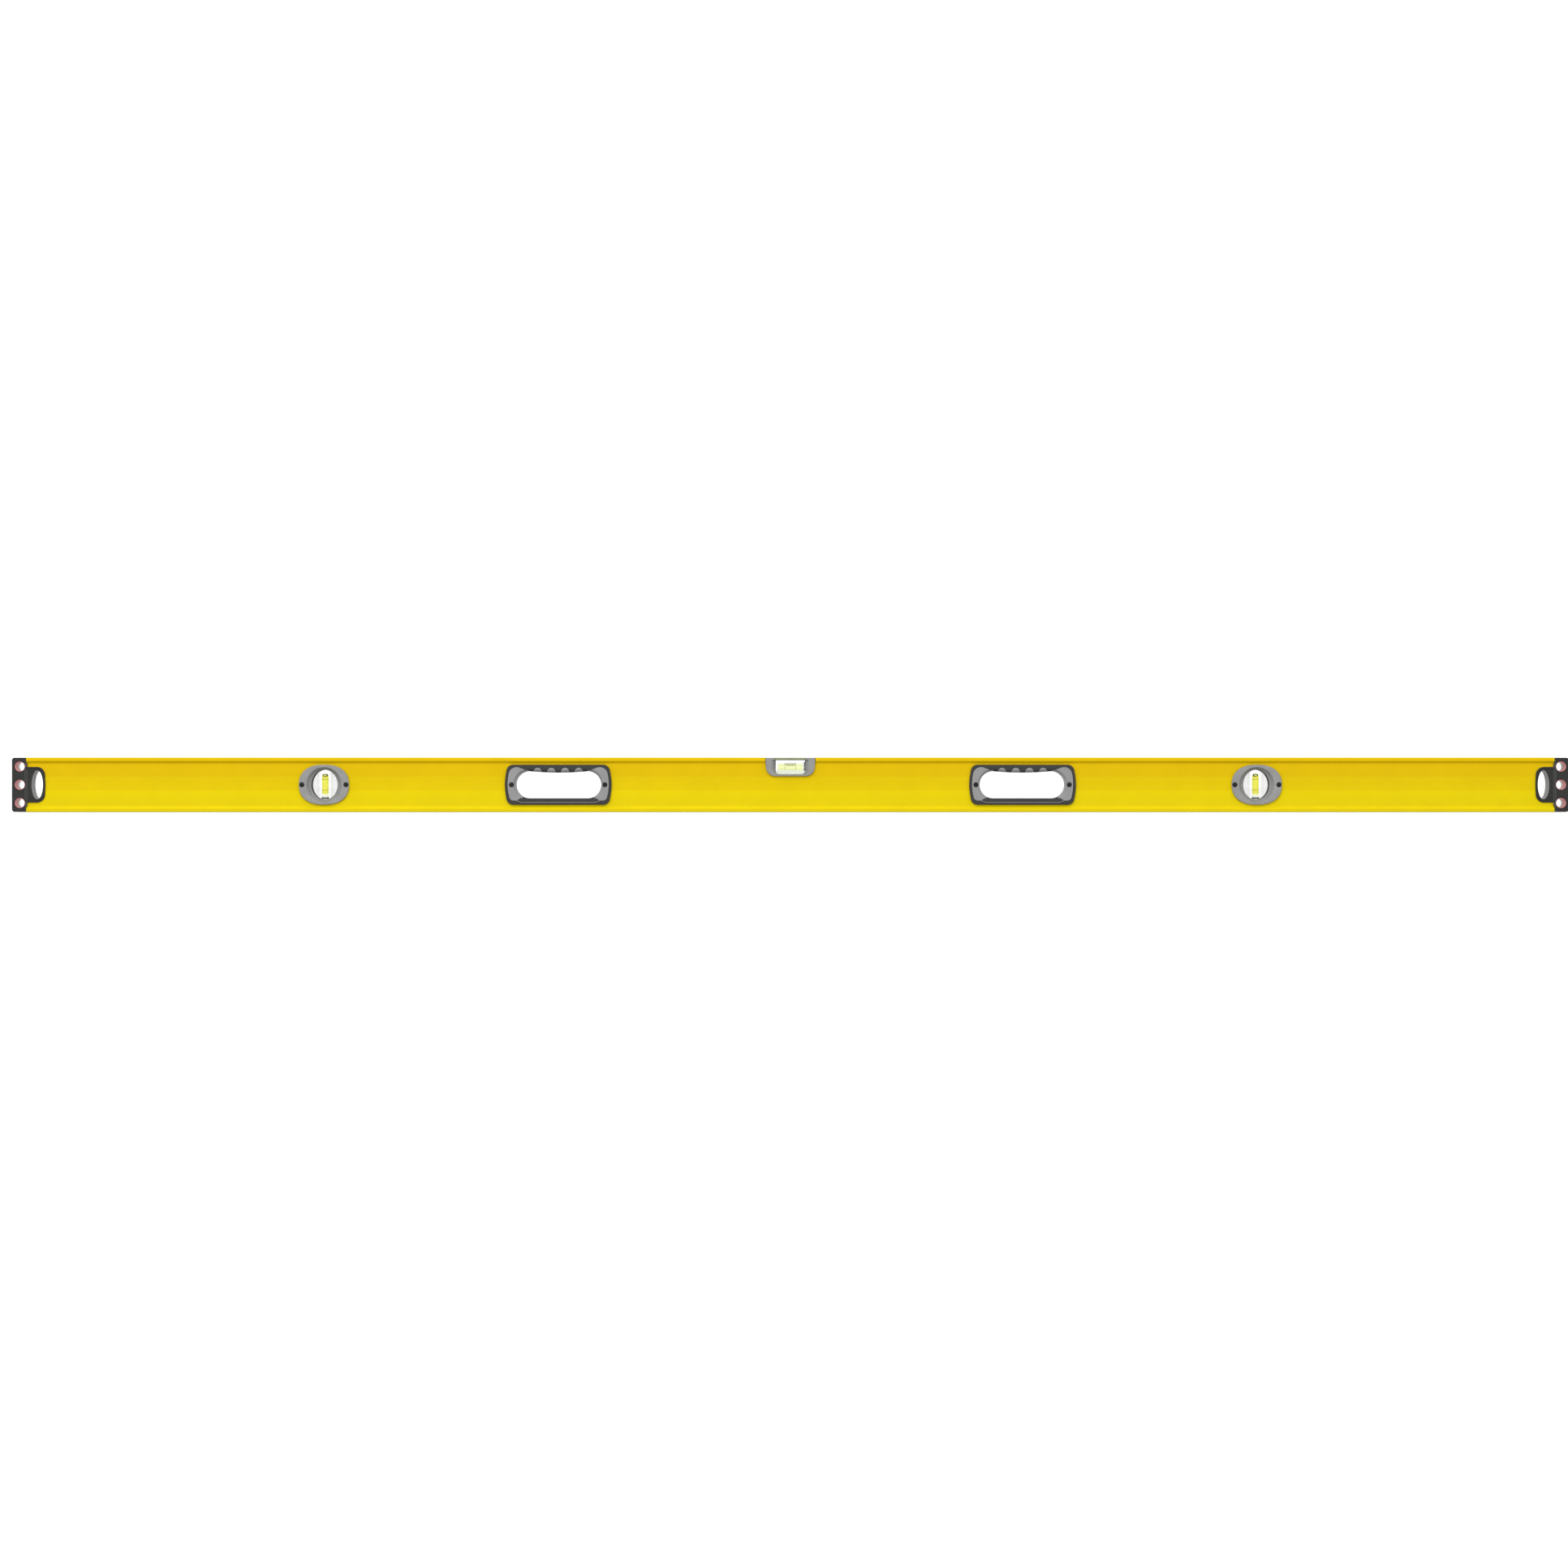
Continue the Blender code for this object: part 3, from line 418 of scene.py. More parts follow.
def rim(face, radius, steps=5):
    """(inset, front) stations of a rounded edge, from the side wall to the face."""
    angles = [math.pi / 2 * step / steps for step in range(steps + 1)]
    return [(radius * (1 - math.cos(angle)), face - radius * (1 - math.sin(angle))) for angle in angles]


def mouth(face, radius, steps=5):
    """(inset, front) stations of a hole's rounded mouth, and on through the face."""
    arc = [(-inset, front + 0.02 * MM) for inset, front in rim(face, radius, steps)]
    return arc + [(-radius - BEYOND, face + BEYOND)]


def turned(profile, along=ALONG_Y, steps=48, ring=False, centre=(0, 0)):
    """Turns (radius, height) points about the axis; a ring's profile closes on itself."""
    def spin(shape):
        loops = []
        for radius, height in profile:
            count = steps if radius > 0 else 1
            loops.append([shape.verts.new((
                centre[0] + radius * math.cos(math.tau * step / steps),
                centre[1] + radius * math.sin(math.tau * step / steps), height)) for step in range(count)])
        for near, far in neighbours(loops, ring):
            for step in range(steps):
                following = (step + 1) % steps
                corners = [near[step % len(near)], near[following % len(near)],
                           far[following % len(far)], far[step % len(far)]]
                shape.faces.new(list(dict.fromkeys(corners)))

    item = shaped("turned", spin)
    item.data.transform(along)
    return item


def tipped(item, matrix):
    """Turns or mirrors a shape, with its faces outwards again."""
    item.data.transform(matrix)
    return edited(item, lambda shape: None)


def rod(radius, low, high, along=ALONG_Y, centre=(0, 0), steps=48):
    return turned([(0, low), (radius, low), (radius, high), (0, high)], along, steps, centre=centre)


def slab(low, high):
    """Rectangular cutter or filler."""
    size = Vector(high) - Vector(low)
    matrix = Matrix.Translation((Vector(high) + Vector(low)) / 2) @ Matrix.Diagonal((*size, 1))
    return shaped("slab", lambda shape: bmesh.ops.create_cube(shape, size=1, matrix=matrix))


def combine(item, tools, operation):
    for tool in tools:
        modifier = item.modifiers.new(operation, "BOOLEAN")
        modifier.operation = operation
        modifier.solver = "EXACT"
        modifier.object = tool
    mesh = evaluated(item)
    item.modifiers.clear()
    item.data = mesh
    for tool in tools:
        bpy.data.objects.remove(tool, do_unlink=True)
    return item


def join(item, *tools):
    return combine(item, tools, "UNION")


def cut(item, *tools):
    return combine(item, tools, "DIFFERENCE")


def moved(mesh, x=0.0, z=0.0, turn=None):
    """Copy of a mesh in its place; turn is applied first, and may be a mirror."""
    copy = mesh.copy()
    if turn:
        copy.transform(turn)
        if turn.is_negative:
            copy.flip_normals()
    copy.transform(Matrix.Translation((x, 0, z)))
    return copy


def tint(mesh, index, test):
    """Gives another of the piece's materials to the faces whose (centre, normal) pass the test."""
    for face in mesh.polygons:
        if test(face.center, face.normal):
            face.material_index = index


def fit(name, mesh, materials, slot, *nodes, body="level", sharp=30):
    """The finished piece: smooth between its sharp edges, riding on its body in place of CAD nodes."""
    mesh.name = name
    for index, material in enumerate(materials):
        if index < len(mesh.materials):
            mesh.materials[index] = material
        else:
            mesh.materials.append(material)
    mesh.shade_smooth()
    mesh.set_sharp_from_angle(angle=math.radians(sharp))
    item = loose(name, mesh)
    weight = item.modifiers.new("even_shading", "WEIGHTED_NORMAL")
    weight.keep_sharp = True
    weight.weight = 60
    even = made(item, evaluated(item))
    even.name = name
    piece = loose(name, even)
    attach(piece, body)
    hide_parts(*nodes)
    return piece


# ---------------------------------------------------------------- node trees

class Nodes:
    """A node tree under construction."""

    def __init__(self, tree):
        self.tree = tree

    def add(self, kind, inputs=(), output=0, **settings):
        """Adds a node, wires or sets its inputs, and returns one of its outputs."""
        node = self.tree.nodes.new(kind)
        for name, value in settings.items():
            setattr(node, name, value)
        for name, value in dict(inputs).items():
            for source in value if isinstance(value, list) else [value]:
                if isinstance(source, bpy.types.NodeSocket):
                    self.tree.links.new(source, node.inputs[name])
                else:
                    node.inputs[name].default_value = source
        return node.outputs[output] if node.outputs else None


class Grower(Nodes):
    """Geometry nodes with named inputs, besides the geometry itself and its material."""

    def __init__(self, name, **inputs):
        super().__init__(bpy.data.node_groups.new(name, "GeometryNodeTree"))
        for label, kind in {"geometry": "Geometry", **inputs, "material": "Material"}.items():
            self.tree.interface.new_socket(label, in_out="INPUT", socket_type=f"NodeSocket{kind}")
        self.tree.interface.new_socket("geometry", in_out="OUTPUT", socket_type="NodeSocketGeometry")
        self.given = self.add("NodeGroupInput").node.outputs

    def finished(self, geometry):
        """Ends the tree with real geometry in its material."""
        realized = self.add("GeometryNodeRealizeInstances", {"Geometry": geometry})
        painted = self.add("GeometryNodeSetMaterial", {
            "Geometry": realized, "Material": self.given["material"]})
        self.add("NodeGroupOutput", {"geometry": painted})
        return self.tree


def extrusion_tree():
    """Fills the section outlines, draws them out to a length and lays them along X."""
    tree = Grower("beam_extrusion", length="Float", weld="Float")
    length = tree.given["length"]
    outlines = tree.add("GeometryNodeMeshToCurve", {"Mesh": tree.given["geometry"]})
    filled = tree.add("GeometryNodeFillCurve", {"Curve": outlines})
    drawn = tree.add("GeometryNodeExtrudeMesh", {
        "Mesh": filled, "Offset": (0, 0, 1), "Offset Scale": length, "Individual": False})
    foot = tree.add("GeometryNodeFlipFaces", {"Mesh": filled})
    both = tree.add("GeometryNodeJoinGeometry", {"Geometry": [drawn, foot]})
    welded = tree.add("GeometryNodeMergeByDistance", {"Geometry": both, "Distance": tree.given["weld"]})
    back = tree.add("ShaderNodeMath", {0: length, 1: -0.5}, operation="MULTIPLY")
    place = tree.add("ShaderNodeCombineXYZ", {"X": back})
    laid = tree.add("GeometryNodeTransform", {
        "Geometry": welded, "Translation": place, "Rotation": (math.pi / 2, 0, math.pi / 2)})
    return tree.finished(laid)


def rows_tree():
    """Repeats one piece in rows of a row, each copy turned a little about Y by its own chance."""
    tree = Grower("rows_of_pieces", first="Vector", step="Vector", row_step="Vector",
                  count="Int", rows="Int", seed="Int", turn="Float")
    given = tree.given
    row = tree.add("GeometryNodeMeshLine", {
        "Count": given["count"], "Start Location": given["first"], "Offset": given["step"]})
    rows = tree.add("GeometryNodeMeshLine", {"Count": given["rows"], "Offset": given["row_step"]})
    spread = tree.add("GeometryNodeInstanceOnPoints", {"Points": rows, "Instance": row})
    spots = tree.add("GeometryNodeRealizeInstances", {"Geometry": spread})
    most = 3  # the random number's upper end, among its sockets of the same name
    chance = tree.add("FunctionNodeRandomValue", {most: given["turn"], "Seed": given["seed"]}, output=1)
    angle = tree.add("ShaderNodeCombineXYZ", {"Y": chance})
    copies = tree.add("GeometryNodeInstanceOnPoints", {
        "Points": spots, "Instance": given["geometry"], "Rotation": angle})
    return tree.finished(copies)


def grown(item, tree, **sizes):
    """Mesh that a node tree makes of the object, with the tree's named inputs set."""
    modifier = item.modifiers.new(tree.name, "NODES")
    modifier.node_group = tree
    for socket in tree.interface.items_tree:
        if socket.in_out == "INPUT" and socket.name in sizes:
            modifier[socket.identifier] = sizes[socket.name]
    return made(item, evaluated(item))


# ---------------------------------------------------------------- finishes

class Finish(Nodes):
    """A material under construction: a Principled shader and the nodes that feed it."""

    def __init__(self, name, **constants):
        self.material = bpy.data.materials.new(name)
        self.material.use_nodes = True
        super().__init__(self.material.node_tree)
        self.shader = self.tree.nodes["Principled BSDF"]
        for socket, value in constants.items():
            self.shader.inputs[socket.replace("_", " ")].default_value = value
        self.place = self.add("ShaderNodeTexCoord", output="Object")

    def feed(self, socket, source):
        self.tree.links.new(source, self.shader.inputs[socket])

    def noise(self, size, detail=3.0, roughness=0.5, place=None):
        """Noise whose blotches are about that size."""
        return self.add("ShaderNodeTexNoise", {
            "Vector": place or self.place, "Scale": 1 / size, "Detail": detail, "Roughness": roughness})

    def ramp(self, source, *stops):
        """(position, colour or grey) stops over a 0 to 1 source."""
        colour = self.add("ShaderNodeValToRGB", {"Fac": source})
        spots = colour.node.color_ramp.elements
        for index, (position, value) in enumerate(stops):
            spot = spots[index] if index < 2 else spots.new(position)
            spot.position = position
            spot.color = (*value, 1) if isinstance(value, tuple) else (value, value, value, 1)
        return colour

    def spread(self, source, low, high):
        """Stretches low to high over 0 to 1."""
        return self.add("ShaderNodeMapRange", {"Value": source, "From Min": low, "From Max": high})

    def part(self, axis):
        return self.add("ShaderNodeSeparateXYZ", {"Vector": self.place}, output=axis)

    def math(self, operation, first, second=0.0):
        return self.add("ShaderNodeMath", {0: first, 1: second}, operation=operation)

    def off(self, axis, centre):
        """Distance from a centre along one axis."""
        return self.math("ABSOLUTE", self.math("SUBTRACT", self.part(axis), centre))

    def blend(self, share, first, second, how="MIX"):
        first, second = [(*value, 1) if isinstance(value, tuple) else value for value in (first, second)]
        inputs = {0: share, 6: first, 7: second}  # the colour sockets, among others of the same names
        return self.add("ShaderNodeMix", inputs, output=2, data_type="RGBA", blend_type=how)

    def shade(self, first, second):
        return self.blend(1.0, first, second, "MULTIPLY")

    def gloss(self, source, low, high):
        """Roughness from low to high over a 0 to 1 source."""
        self.feed("Roughness", self.ramp(source, (0.3, low), (0.7, high)))

    def relief(self, height, depth, strength=1.0):
        """Bump of that depth from a 0 to 1 height."""
        self.feed("Normal", self.add("ShaderNodeBump", {
            "Height": height, "Distance": depth, "Strength": strength}))


def powder_paint():
    """Yellow powder coat: orange peel, clouds of hue, a little dust-dulled gloss, and painted bands of
    reflection and shade.
    """
    coat = Finish("yellow_powder_paint", Specular_IOR_Level=0.06)
    # painted reflection bands and painted shade over the height, darker towards the top
    height = coat.spread(coat.part("Z"), 8 * MM, HEIGHT - 8 * MM)
    base = coat.ramp(
        height, (0.0, (0.715, 0.563, 0.002)), (0.34, (0.758, 0.590, 0.001)), (0.38, (0.718, 0.535, 0.001)),
        (0.68, (0.715, 0.512, 0.001)), (0.72, (0.692, 0.472, 0.001)), (1.0, (0.72, 0.482, 0.001)))
    cloud = coat.ramp(coat.noise(26 * MM, 4), (0.3, 0.955), (0.7, 1.0))
    grain = coat.ramp(coat.noise(0.5 * MM, 2), (0.3, 0.96), (0.7, 1.0))
    coat.feed("Base Color", coat.shade(coat.shade(base, cloud), grain))
    coat.feed("Roughness", coat.ramp(coat.noise(9 * MM, 5), (0.25, 0.40), (0.75, 0.52)))
    peel = coat.math("ADD", coat.noise(1.6 * MM, 2), coat.math("MULTIPLY", coat.noise(0.35 * MM, 2), 0.25))
    coat.relief(peel, 0.05 * MM, 0.6)
    return coat.material


def moulded_rubber(name="charcoal_rubber", shade=1.0):
    """Charcoal rubber with a fine leathery grain and pale scuffs."""
    rubber = Finish(name, Specular_IOR_Level=0.35)
    dark, mid, pale = [tuple(shade * part for part in colour) for colour in (
        (0.021, 0.021, 0.020), (0.034, 0.034, 0.032), (0.052, 0.052, 0.049))]
    scuff = rubber.ramp(rubber.noise(5 * MM, 6, 0.7), (0.52, 0.0), (0.75, 0.35))
    base = rubber.ramp(rubber.noise(0.6 * MM, 3), (0.3, dark), (0.7, mid))
    rubber.feed("Base Color", rubber.blend(scuff, base, pale))
    rubber.gloss(rubber.noise(3 * MM, 4), 0.58, 0.74)
    cells = rubber.add("ShaderNodeTexVoronoi", {"Vector": rubber.place, "Scale": 1 / (0.55 * MM)}, "Distance")
    rubber.relief(cells, 0.06 * MM, 0.6)
    return rubber.material


def lit_hole_wall():
    """The smoother wall of a hole that a core pin left, painted pale as the light it catches."""
    wall = Finish("pale_rubber_wall", Specular_IOR_Level=0.4)
    drawn = wall.add("ShaderNodeMapping", {"Vector": wall.place, "Scale": (1.0, 0.06, 1.0)})
    streak = wall.noise(0.8 * MM, place=drawn)
    wall.feed("Base Color", wall.ramp(streak, (0.3, (0.24, 0.24, 0.235)), (0.7, (0.29, 0.29, 0.28))))
    wall.gloss(streak, 0.42, 0.55)
    wall.relief(streak, 0.03 * MM, 0.4)
    return wall.material


def textured_plastic(name, dark, light):
    """Moulded plastic with a fine spark texture and faint flow clouds."""
    plastic = Finish(name, Specular_IOR_Level=0.35)
    cloud = plastic.noise(12 * MM, 4)
    base = plastic.ramp(cloud, (0.3, dark), (0.7, light))
    speck = plastic.ramp(plastic.noise(0.28 * MM, 2), (0.35, 0.93), (0.65, 1.0))
    plastic.feed("Base Color", plastic.shade(base, speck))
    plastic.gloss(plastic.noise(2 * MM), 0.42, 0.55)
    plastic.relief(plastic.noise(0.3 * MM, 3), 0.04 * MM, 0.6)
    return plastic.material


def liner_rubber():
    """Salmon liner, dark red at its lips, and painted near white towards the back, as light coming in at the
    far end.
    """
    liner = Finish("salmon_liner", Specular_IOR_Level=0.3)
    depth = liner.spread(liner.part("Y"), -RAIL, RAIL)
    # the near-white stops towards the back are painted light
    base = liner.ramp(
        depth, (0.0, (0.42, 0.15, 0.16)), (0.03, (0.46, 0.18, 0.19)), (0.055, (0.88, 0.46, 0.46)),
        (0.52, (0.86, 0.48, 0.47)), (0.60, (0.88, 0.85, 0.82)), (0.95, (0.92, 0.90, 0.88)))
    mottle = liner.ramp(liner.noise(1.2 * MM, 4), (0.3, 0.90), (0.7, 1.0))
    liner.feed("Base Color", liner.shade(base, mottle))
    liner.gloss(liner.noise(2 * MM), 0.45, 0.6)
    liner.relief(liner.noise(0.4 * MM, 3), 0.04 * MM, 0.5)
    return liner.material


def black_oxide():
    """Blackened steel: rolled grain and brighter rubbed spots."""
    steel = Finish("black_oxide_steel", Metallic=0.7)
    rub = steel.noise(0.9 * MM, 5, 0.65)
    steel.feed("Base Color", steel.ramp(rub, (0.4, (0.010, 0.010, 0.011)), (0.75, (0.045, 0.045, 0.048))))
    steel.gloss(steel.noise(0.5 * MM, 4), 0.34, 0.52)
    steel.relief(steel.noise(0.25 * MM, 3), 0.02 * MM, 0.5)
    return steel.material


def clear_acrylic(name, dark, light, haze=0.06, **constants):
    """Clear acrylic with faint flow lines, still open for more to be fed to it."""
    clear = Finish(name, IOR=1.49, **constants)
    flow = clear.noise(3 * MM, 4)
    clear.feed("Base Color", clear.ramp(flow, (0.3, dark), (0.7, light)))
    clear.gloss(flow, haze / 2, haze)
    clear.relief(clear.noise(4 * MM, 2), 0.01 * MM, 0.3)
    return clear


def even_acrylic(name, colour, alpha, haze=0.06):
    return clear_acrylic(name, tuple(0.94 * part for part in colour), colour, haze, Alpha=alpha).material


def plumb_acrylic(side):
    """Faintly milky in the thin plate beside the column."""
    clear = clear_acrylic(f"plumb_acrylic_{side}", (0.44, 0.46, 0.43), (0.50, 0.52, 0.48))
    plate = clear.spread(clear.off("X", PLUMBS[side]), 4.6 * MM, 6.4 * MM)
    clear.feed("Alpha", clear.ramp(plate, (0.0, 0.05), (1.0, 0.20)))
    return clear.material


def level_acrylic():
    """Clear acrylic, painted under the barrel with the liquid's green as its reflection, and a dark line of
    painted shade at the barrel's lower edge.
    """
    clear = Finish("level_acrylic_block", IOR=1.49)
    foot, span = HEIGHT - WINDOW_DROP - 2 * MM, 9 * MM
    line = (LEVEL_AXIS - LEVEL_BORE - foot) / span
    height = clear.math("ADD", clear.spread(clear.part("Z"), foot, foot + span),
                        clear.math("MULTIPLY", clear.math("SUBTRACT", clear.noise(3 * MM, 2), 0.5), 0.02))
    # green foot: painted reflection of the liquid; the dark stop at line: painted shade
    clear.feed("Base Color", clear.ramp(
        height, (0.0, (0.56, 0.70, 0.24)), (line - 0.02, (0.58, 0.72, 0.26)), (line, (0.16, 0.18, 0.07)),
        (line + 0.03, (0.90, 0.93, 0.88)), (1.0, (0.93, 0.95, 0.93))))
    clear.feed("Alpha", clear.ramp(
        height, (0.0, 0.30), (line - 0.02, 0.28), (line, 0.45), (line + 0.03, 0.10), (1.0, 0.08)))
    clear.gloss(clear.noise(3 * MM, 4), 0.03, 0.07)
    return clear.material


def vial_liquid(name, body, deep, side, end, reach):
    """Clear tinted liquid, deeper off its side and pale at its end; each is given as (axis, centre)."""
    liquid = Finish(name, Transmission_Weight=1.0, Roughness=0.02, IOR=1.01, Specular_IOR_Level=0.2)
    depth = liquid.spread(liquid.off(*side), 1.5 * MM, 4.4 * MM)
    swirl = liquid.math("MULTIPLY", liquid.noise(4 * MM), 0.3)
    colour = liquid.ramp(liquid.math("ADD", depth, swirl), (0.2, body), (1.0, deep))
    tip = liquid.spread(liquid.off(*end), reach - 0.4 * MM, reach + 0.4 * MM)
    liquid.feed("Base Color", liquid.blend(tip, colour, (0.93, 0.94, 0.62)))
    return liquid.material


def air_bubble(name, node, half_across, half_up, *stops):
    """Colour stops from the middle of the bubble out to where its skin turns away: painted light in the
    middle, painted shade at the rim in place of refraction.
    """
    air, centre = Finish(name, Roughness=0.1), middle(node)
    across = air.math("DIVIDE", air.off("X", centre.x), half_across)
    up = air.math("DIVIDE", air.off("Z", centre.z), half_up)
    squares = [air.math("MULTIPLY", part, part) for part in (across, up)]
    reach = air.math("SQRT", air.math("ADD", *squares))
    ripple = air.math("MULTIPLY", air.math("SUBTRACT", air.noise(0.8 * MM, 2), 0.5), 0.06)
    air.feed("Base Color", air.ramp(air.math("ADD", reach, ripple), *stops))
    return air.material


def plumb_air(side):
    return air_bubble(
        f"plumb_air_{side}", f"plumb_bubble_{side}", 3.15 * MM, 2.0 * MM, (0.0, (0.95, 0.97, 0.62)),
        (0.52, (0.93, 0.95, 0.50)), (0.70, (0.05, 0.06, 0.01)), (1.0, (0.03, 0.04, 0.006)))


def level_air():
    return air_bubble(
        "level_air", "level_bubble", 6.1 * MM, 1.9 * MM, (0.0, (0.97, 0.97, 0.94)),
        (0.74, (0.95, 0.96, 0.90)), (0.92, (0.80, 0.84, 0.60)), (1.0, (0.55, 0.60, 0.32)))


def printed_mark(name, alpha, dark, light):
    mark = Finish(name, Roughness=0.5, Alpha=alpha)
    mark.feed("Base Color", mark.ramp(mark.noise(0.5 * MM, 3), (0.3, dark), (0.7, light)))
    return mark.material


def floor_cover():
    cover = Finish("pale_floor", Roughness=0.9, Specular_IOR_Level=0.0)
    cover.feed("Base Color", cover.ramp(cover.noise(0.9, 2), (0.2, 0.93), (0.8, 0.95)))
    return cover.material


PAINT = powder_paint()
RUBBER = moulded_rubber()
END_RUBBER = moulded_rubber("end_rubber", 0.5)
HOLE_WALL_LIGHT = lit_hole_wall()
GREY = textured_plastic("grey_moulding", (0.245, 0.245, 0.24), (0.285, 0.285, 0.275))
PALE_GREY = textured_plastic("pale_grey_moulding", (0.245, 0.24, 0.245), (0.28, 0.275, 0.28))
# painted shade, tinted olive, for the band over the level window
OLIVE_SHADE_BAND = textured_plastic("olive_moulding", (0.22, 0.24, 0.13), (0.27, 0.29, 0.16))
# painted shade for the lips and pockets round the vial blocks
SHADE = textured_plastic("dark_moulding", (0.030, 0.031, 0.028), (0.045, 0.046, 0.042))
LINER = liner_rubber()
STEEL = black_oxide()
CLEAR_EDGE = even_acrylic("clear_acrylic_edge", (0.66, 0.70, 0.66), 0.42, 0.2)
WAY = even_acrylic("bubble_way", (0.95, 0.97, 0.80), 0.03)
PLUG_CLEAR = even_acrylic("clear_acrylic_plug", (0.86, 0.88, 0.82), 0.55, 0.2)
MARK = printed_mark("level_marking", 0.4, (0.075, 0.085, 0.025), (0.12, 0.13, 0.04))
PALE_MARK = printed_mark("plumb_marking", 0.32, (0.13, 0.13, 0.012), (0.20, 0.20, 0.02))
# painted highlight for the bumper's slope
SLOPE_HIGHLIGHT = moulded_rubber("rubbed_rubber", 1.9)
SEAL = moulded_rubber("seal_rubber", 0.3)
EXTRUSION = extrusion_tree()
ROWS = rows_tree()


# ---------------------------------------------------------------- beam

def beam_section():
    """Edges of the extrusion's outer and inner outlines, across its depth."""
    step = RAIL_FACE + RAIL_STEP
    outer = symmetric([
        (RAIL, 0, EDGE_RADIUS), (RAIL, RAIL_FACE, SHOULDER_RADIUS), (WEB, step, VALLEY_RADIUS),
        (WEB, HEIGHT - step, VALLEY_RADIUS), (RAIL, HEIGHT - RAIL_FACE, SHOULDER_RADIUS),
        (RAIL, HEIGHT, EDGE_RADIUS),
    ], steps=5)
    inner = symmetric([(CAVITY, EDGE_WALL, 1 * MM), (CAVITY, HEIGHT - EDGE_WALL, 1 * MM)], steps=3)
    points, edges = [], []
    for outline in (outer, inner):
        start = len(points)
        points += [(x, z, 0) for x, z in outline]
        edges += [(start + step, start + (step + 1) % len(outline)) for step in range(len(outline))]
    mesh = bpy.data.meshes.new("section")
    mesh.from_pydata(points, edges, [])
    return loose("section", mesh)


def through(outline):
    return block(outline, -2 * RAIL, 2 * RAIL)


def build_beam():
    length = 2 * (HALF_LENGTH - CAP_REACH - GAP)
    drawn = loose("drawn", grown(beam_section(), EXTRUSION, length=length, weld=WELD, material=PAINT))
    tools = []
    for side, sign in (("left", -1), ("right", 1)):
        tools.append(through(shifted(skirt_outline(2 * GAP), HANDLES[side], MID)))
        collar = oval(PLUMB_COLLAR[0] + 2 * MM, PLUMB_COLLAR[1] + GAP, steps=64)
        tools.append(through(shifted(collar, PLUMBS[side], MID)))
        for offset in (-PLUMB_SCREW, PLUMB_SCREW):
            spot = (PLUMBS[side] + offset, MID)
            tools.append(rod(BOSS_RADIUS + GAP, -2 * RAIL, 2 * RAIL, centre=spot, steps=32))
        slot = lug_outline(1.3 * MM, start=-CAP_REACH)
        tools.append(through([(sign * (HALF_LENGTH - x), z + MID) for x, z in slot]))
    seat = housing_outline(1.6 * MM, top=-GAP)
    tools.append(through([(x, z if z < HEIGHT - MM else z + MM) for x, z in seat]))
    notch = HOUSING_HALF_WIDTH + 0.12 * MM
    tools.append(slab((-notch, -2 * RAIL, MID + WEB_HALF_HEIGHT), (notch, 2 * RAIL, 2 * HEIGHT)))
    fit("painted_beam", made(cut(drawn, *tools)), [PAINT], "yellow_paint", "beam")


# ---------------------------------------------------------------- end caps

def end_cap():
    """Bumper about the end's own middle, with X running inwards."""
    lap_height = WEB_HALF_HEIGHT - GAP
    sill = LUG_FACE + GAP
    cap = moulded(cap_outline, two_sided(rim(RAIL, CAP_ROUND)))
    inside, top, floor = CAVITY - GAP, MID - EDGE_WALL - GAP, LUG_FACE - LUG_POCKET
    join(cap, slab((CAP_REACH - MM, -inside, -top), (TONGUE_REACH, inside, top)),
         block(lug_outline(1.6 * MM, start=CAP_RAMP), -SEATED - 0.6 * MM, SEATED + 0.6 * MM))
    ramp = (RAIL - sill) / (CAP_LAP - CAP_RAMP)
    slope = [(CAP_RAMP - MM, RAIL + ramp * MM), (CAP_LAP, sill), (CAP_LAP + MM, sill),
             (CAP_LAP + MM, 2 * RAIL), (CAP_RAMP - MM, 2 * RAIL)]
    tools = []
    for side in (-1, 1):
        near, far = sorted((side * SEATED, side * (RAIL - GAP)))
        join(cap, slab((CAP_RAMP + MM, near, -lap_height), (CAP_LAP, far, lap_height)))
        mirror = Matrix.Diagonal((1, side, 1, 1))
        lug = moulded(lambda inset: lug_outline(inset, start=CAP_RAMP + MM), [
            (0, SEATED), *rim(LUG_FACE, 0.6 * MM)])
        join(cap, tipped(lug, mirror))
        wedge = block(slope, -lap_height - GAP, lap_height + GAP)
        tools.append(tipped(wedge, Matrix(((1, 0, 0, 0), (0, 0, side, 0), (0, 1, 0, 0), (0, 0, 0, 1)))))
        pocket = moulded(lambda inset: lug_outline(LUG_RIM + inset, start=CAP_LAP - 0.4 * MM + 5 * inset), [
            (0.35 * MM, floor), (0.1 * MM, floor + 0.1 * MM), (0, floor + 0.35 * MM),
            *mouth(LUG_FACE, 0.3 * MM, 3)])
        tools.append(tipped(pocket, mirror))
    tools.append(moulded(lambda inset: oval(
        HANG_HALF_WIDTH - inset, HANG_HALF_HEIGHT - inset, centre=(HANG_CENTRE, 0), steps=72,
    ), two_sided(mouth(floor, 0.5 * MM))))
    hole = BORE_RADIUS + LINER_WALL + GAP
    bore = [(0.0, -2 * RAIL), (hole + 1.2 * MM, -2 * RAIL), (hole + 0.6 * MM, -RAIL - 0.02 * MM),
            (hole + 0.15 * MM, -RAIL + 0.15 * MM), (hole, -RAIL + 0.5 * MM)]
    bore += [(radius, -height) for radius, height in reversed(bore)]
    tools += [turned(bore, centre=(BORE_FROM_END, up)) for up in (-BORE_RISE, 0, BORE_RISE)]
    return made(cut(cap, *tools))


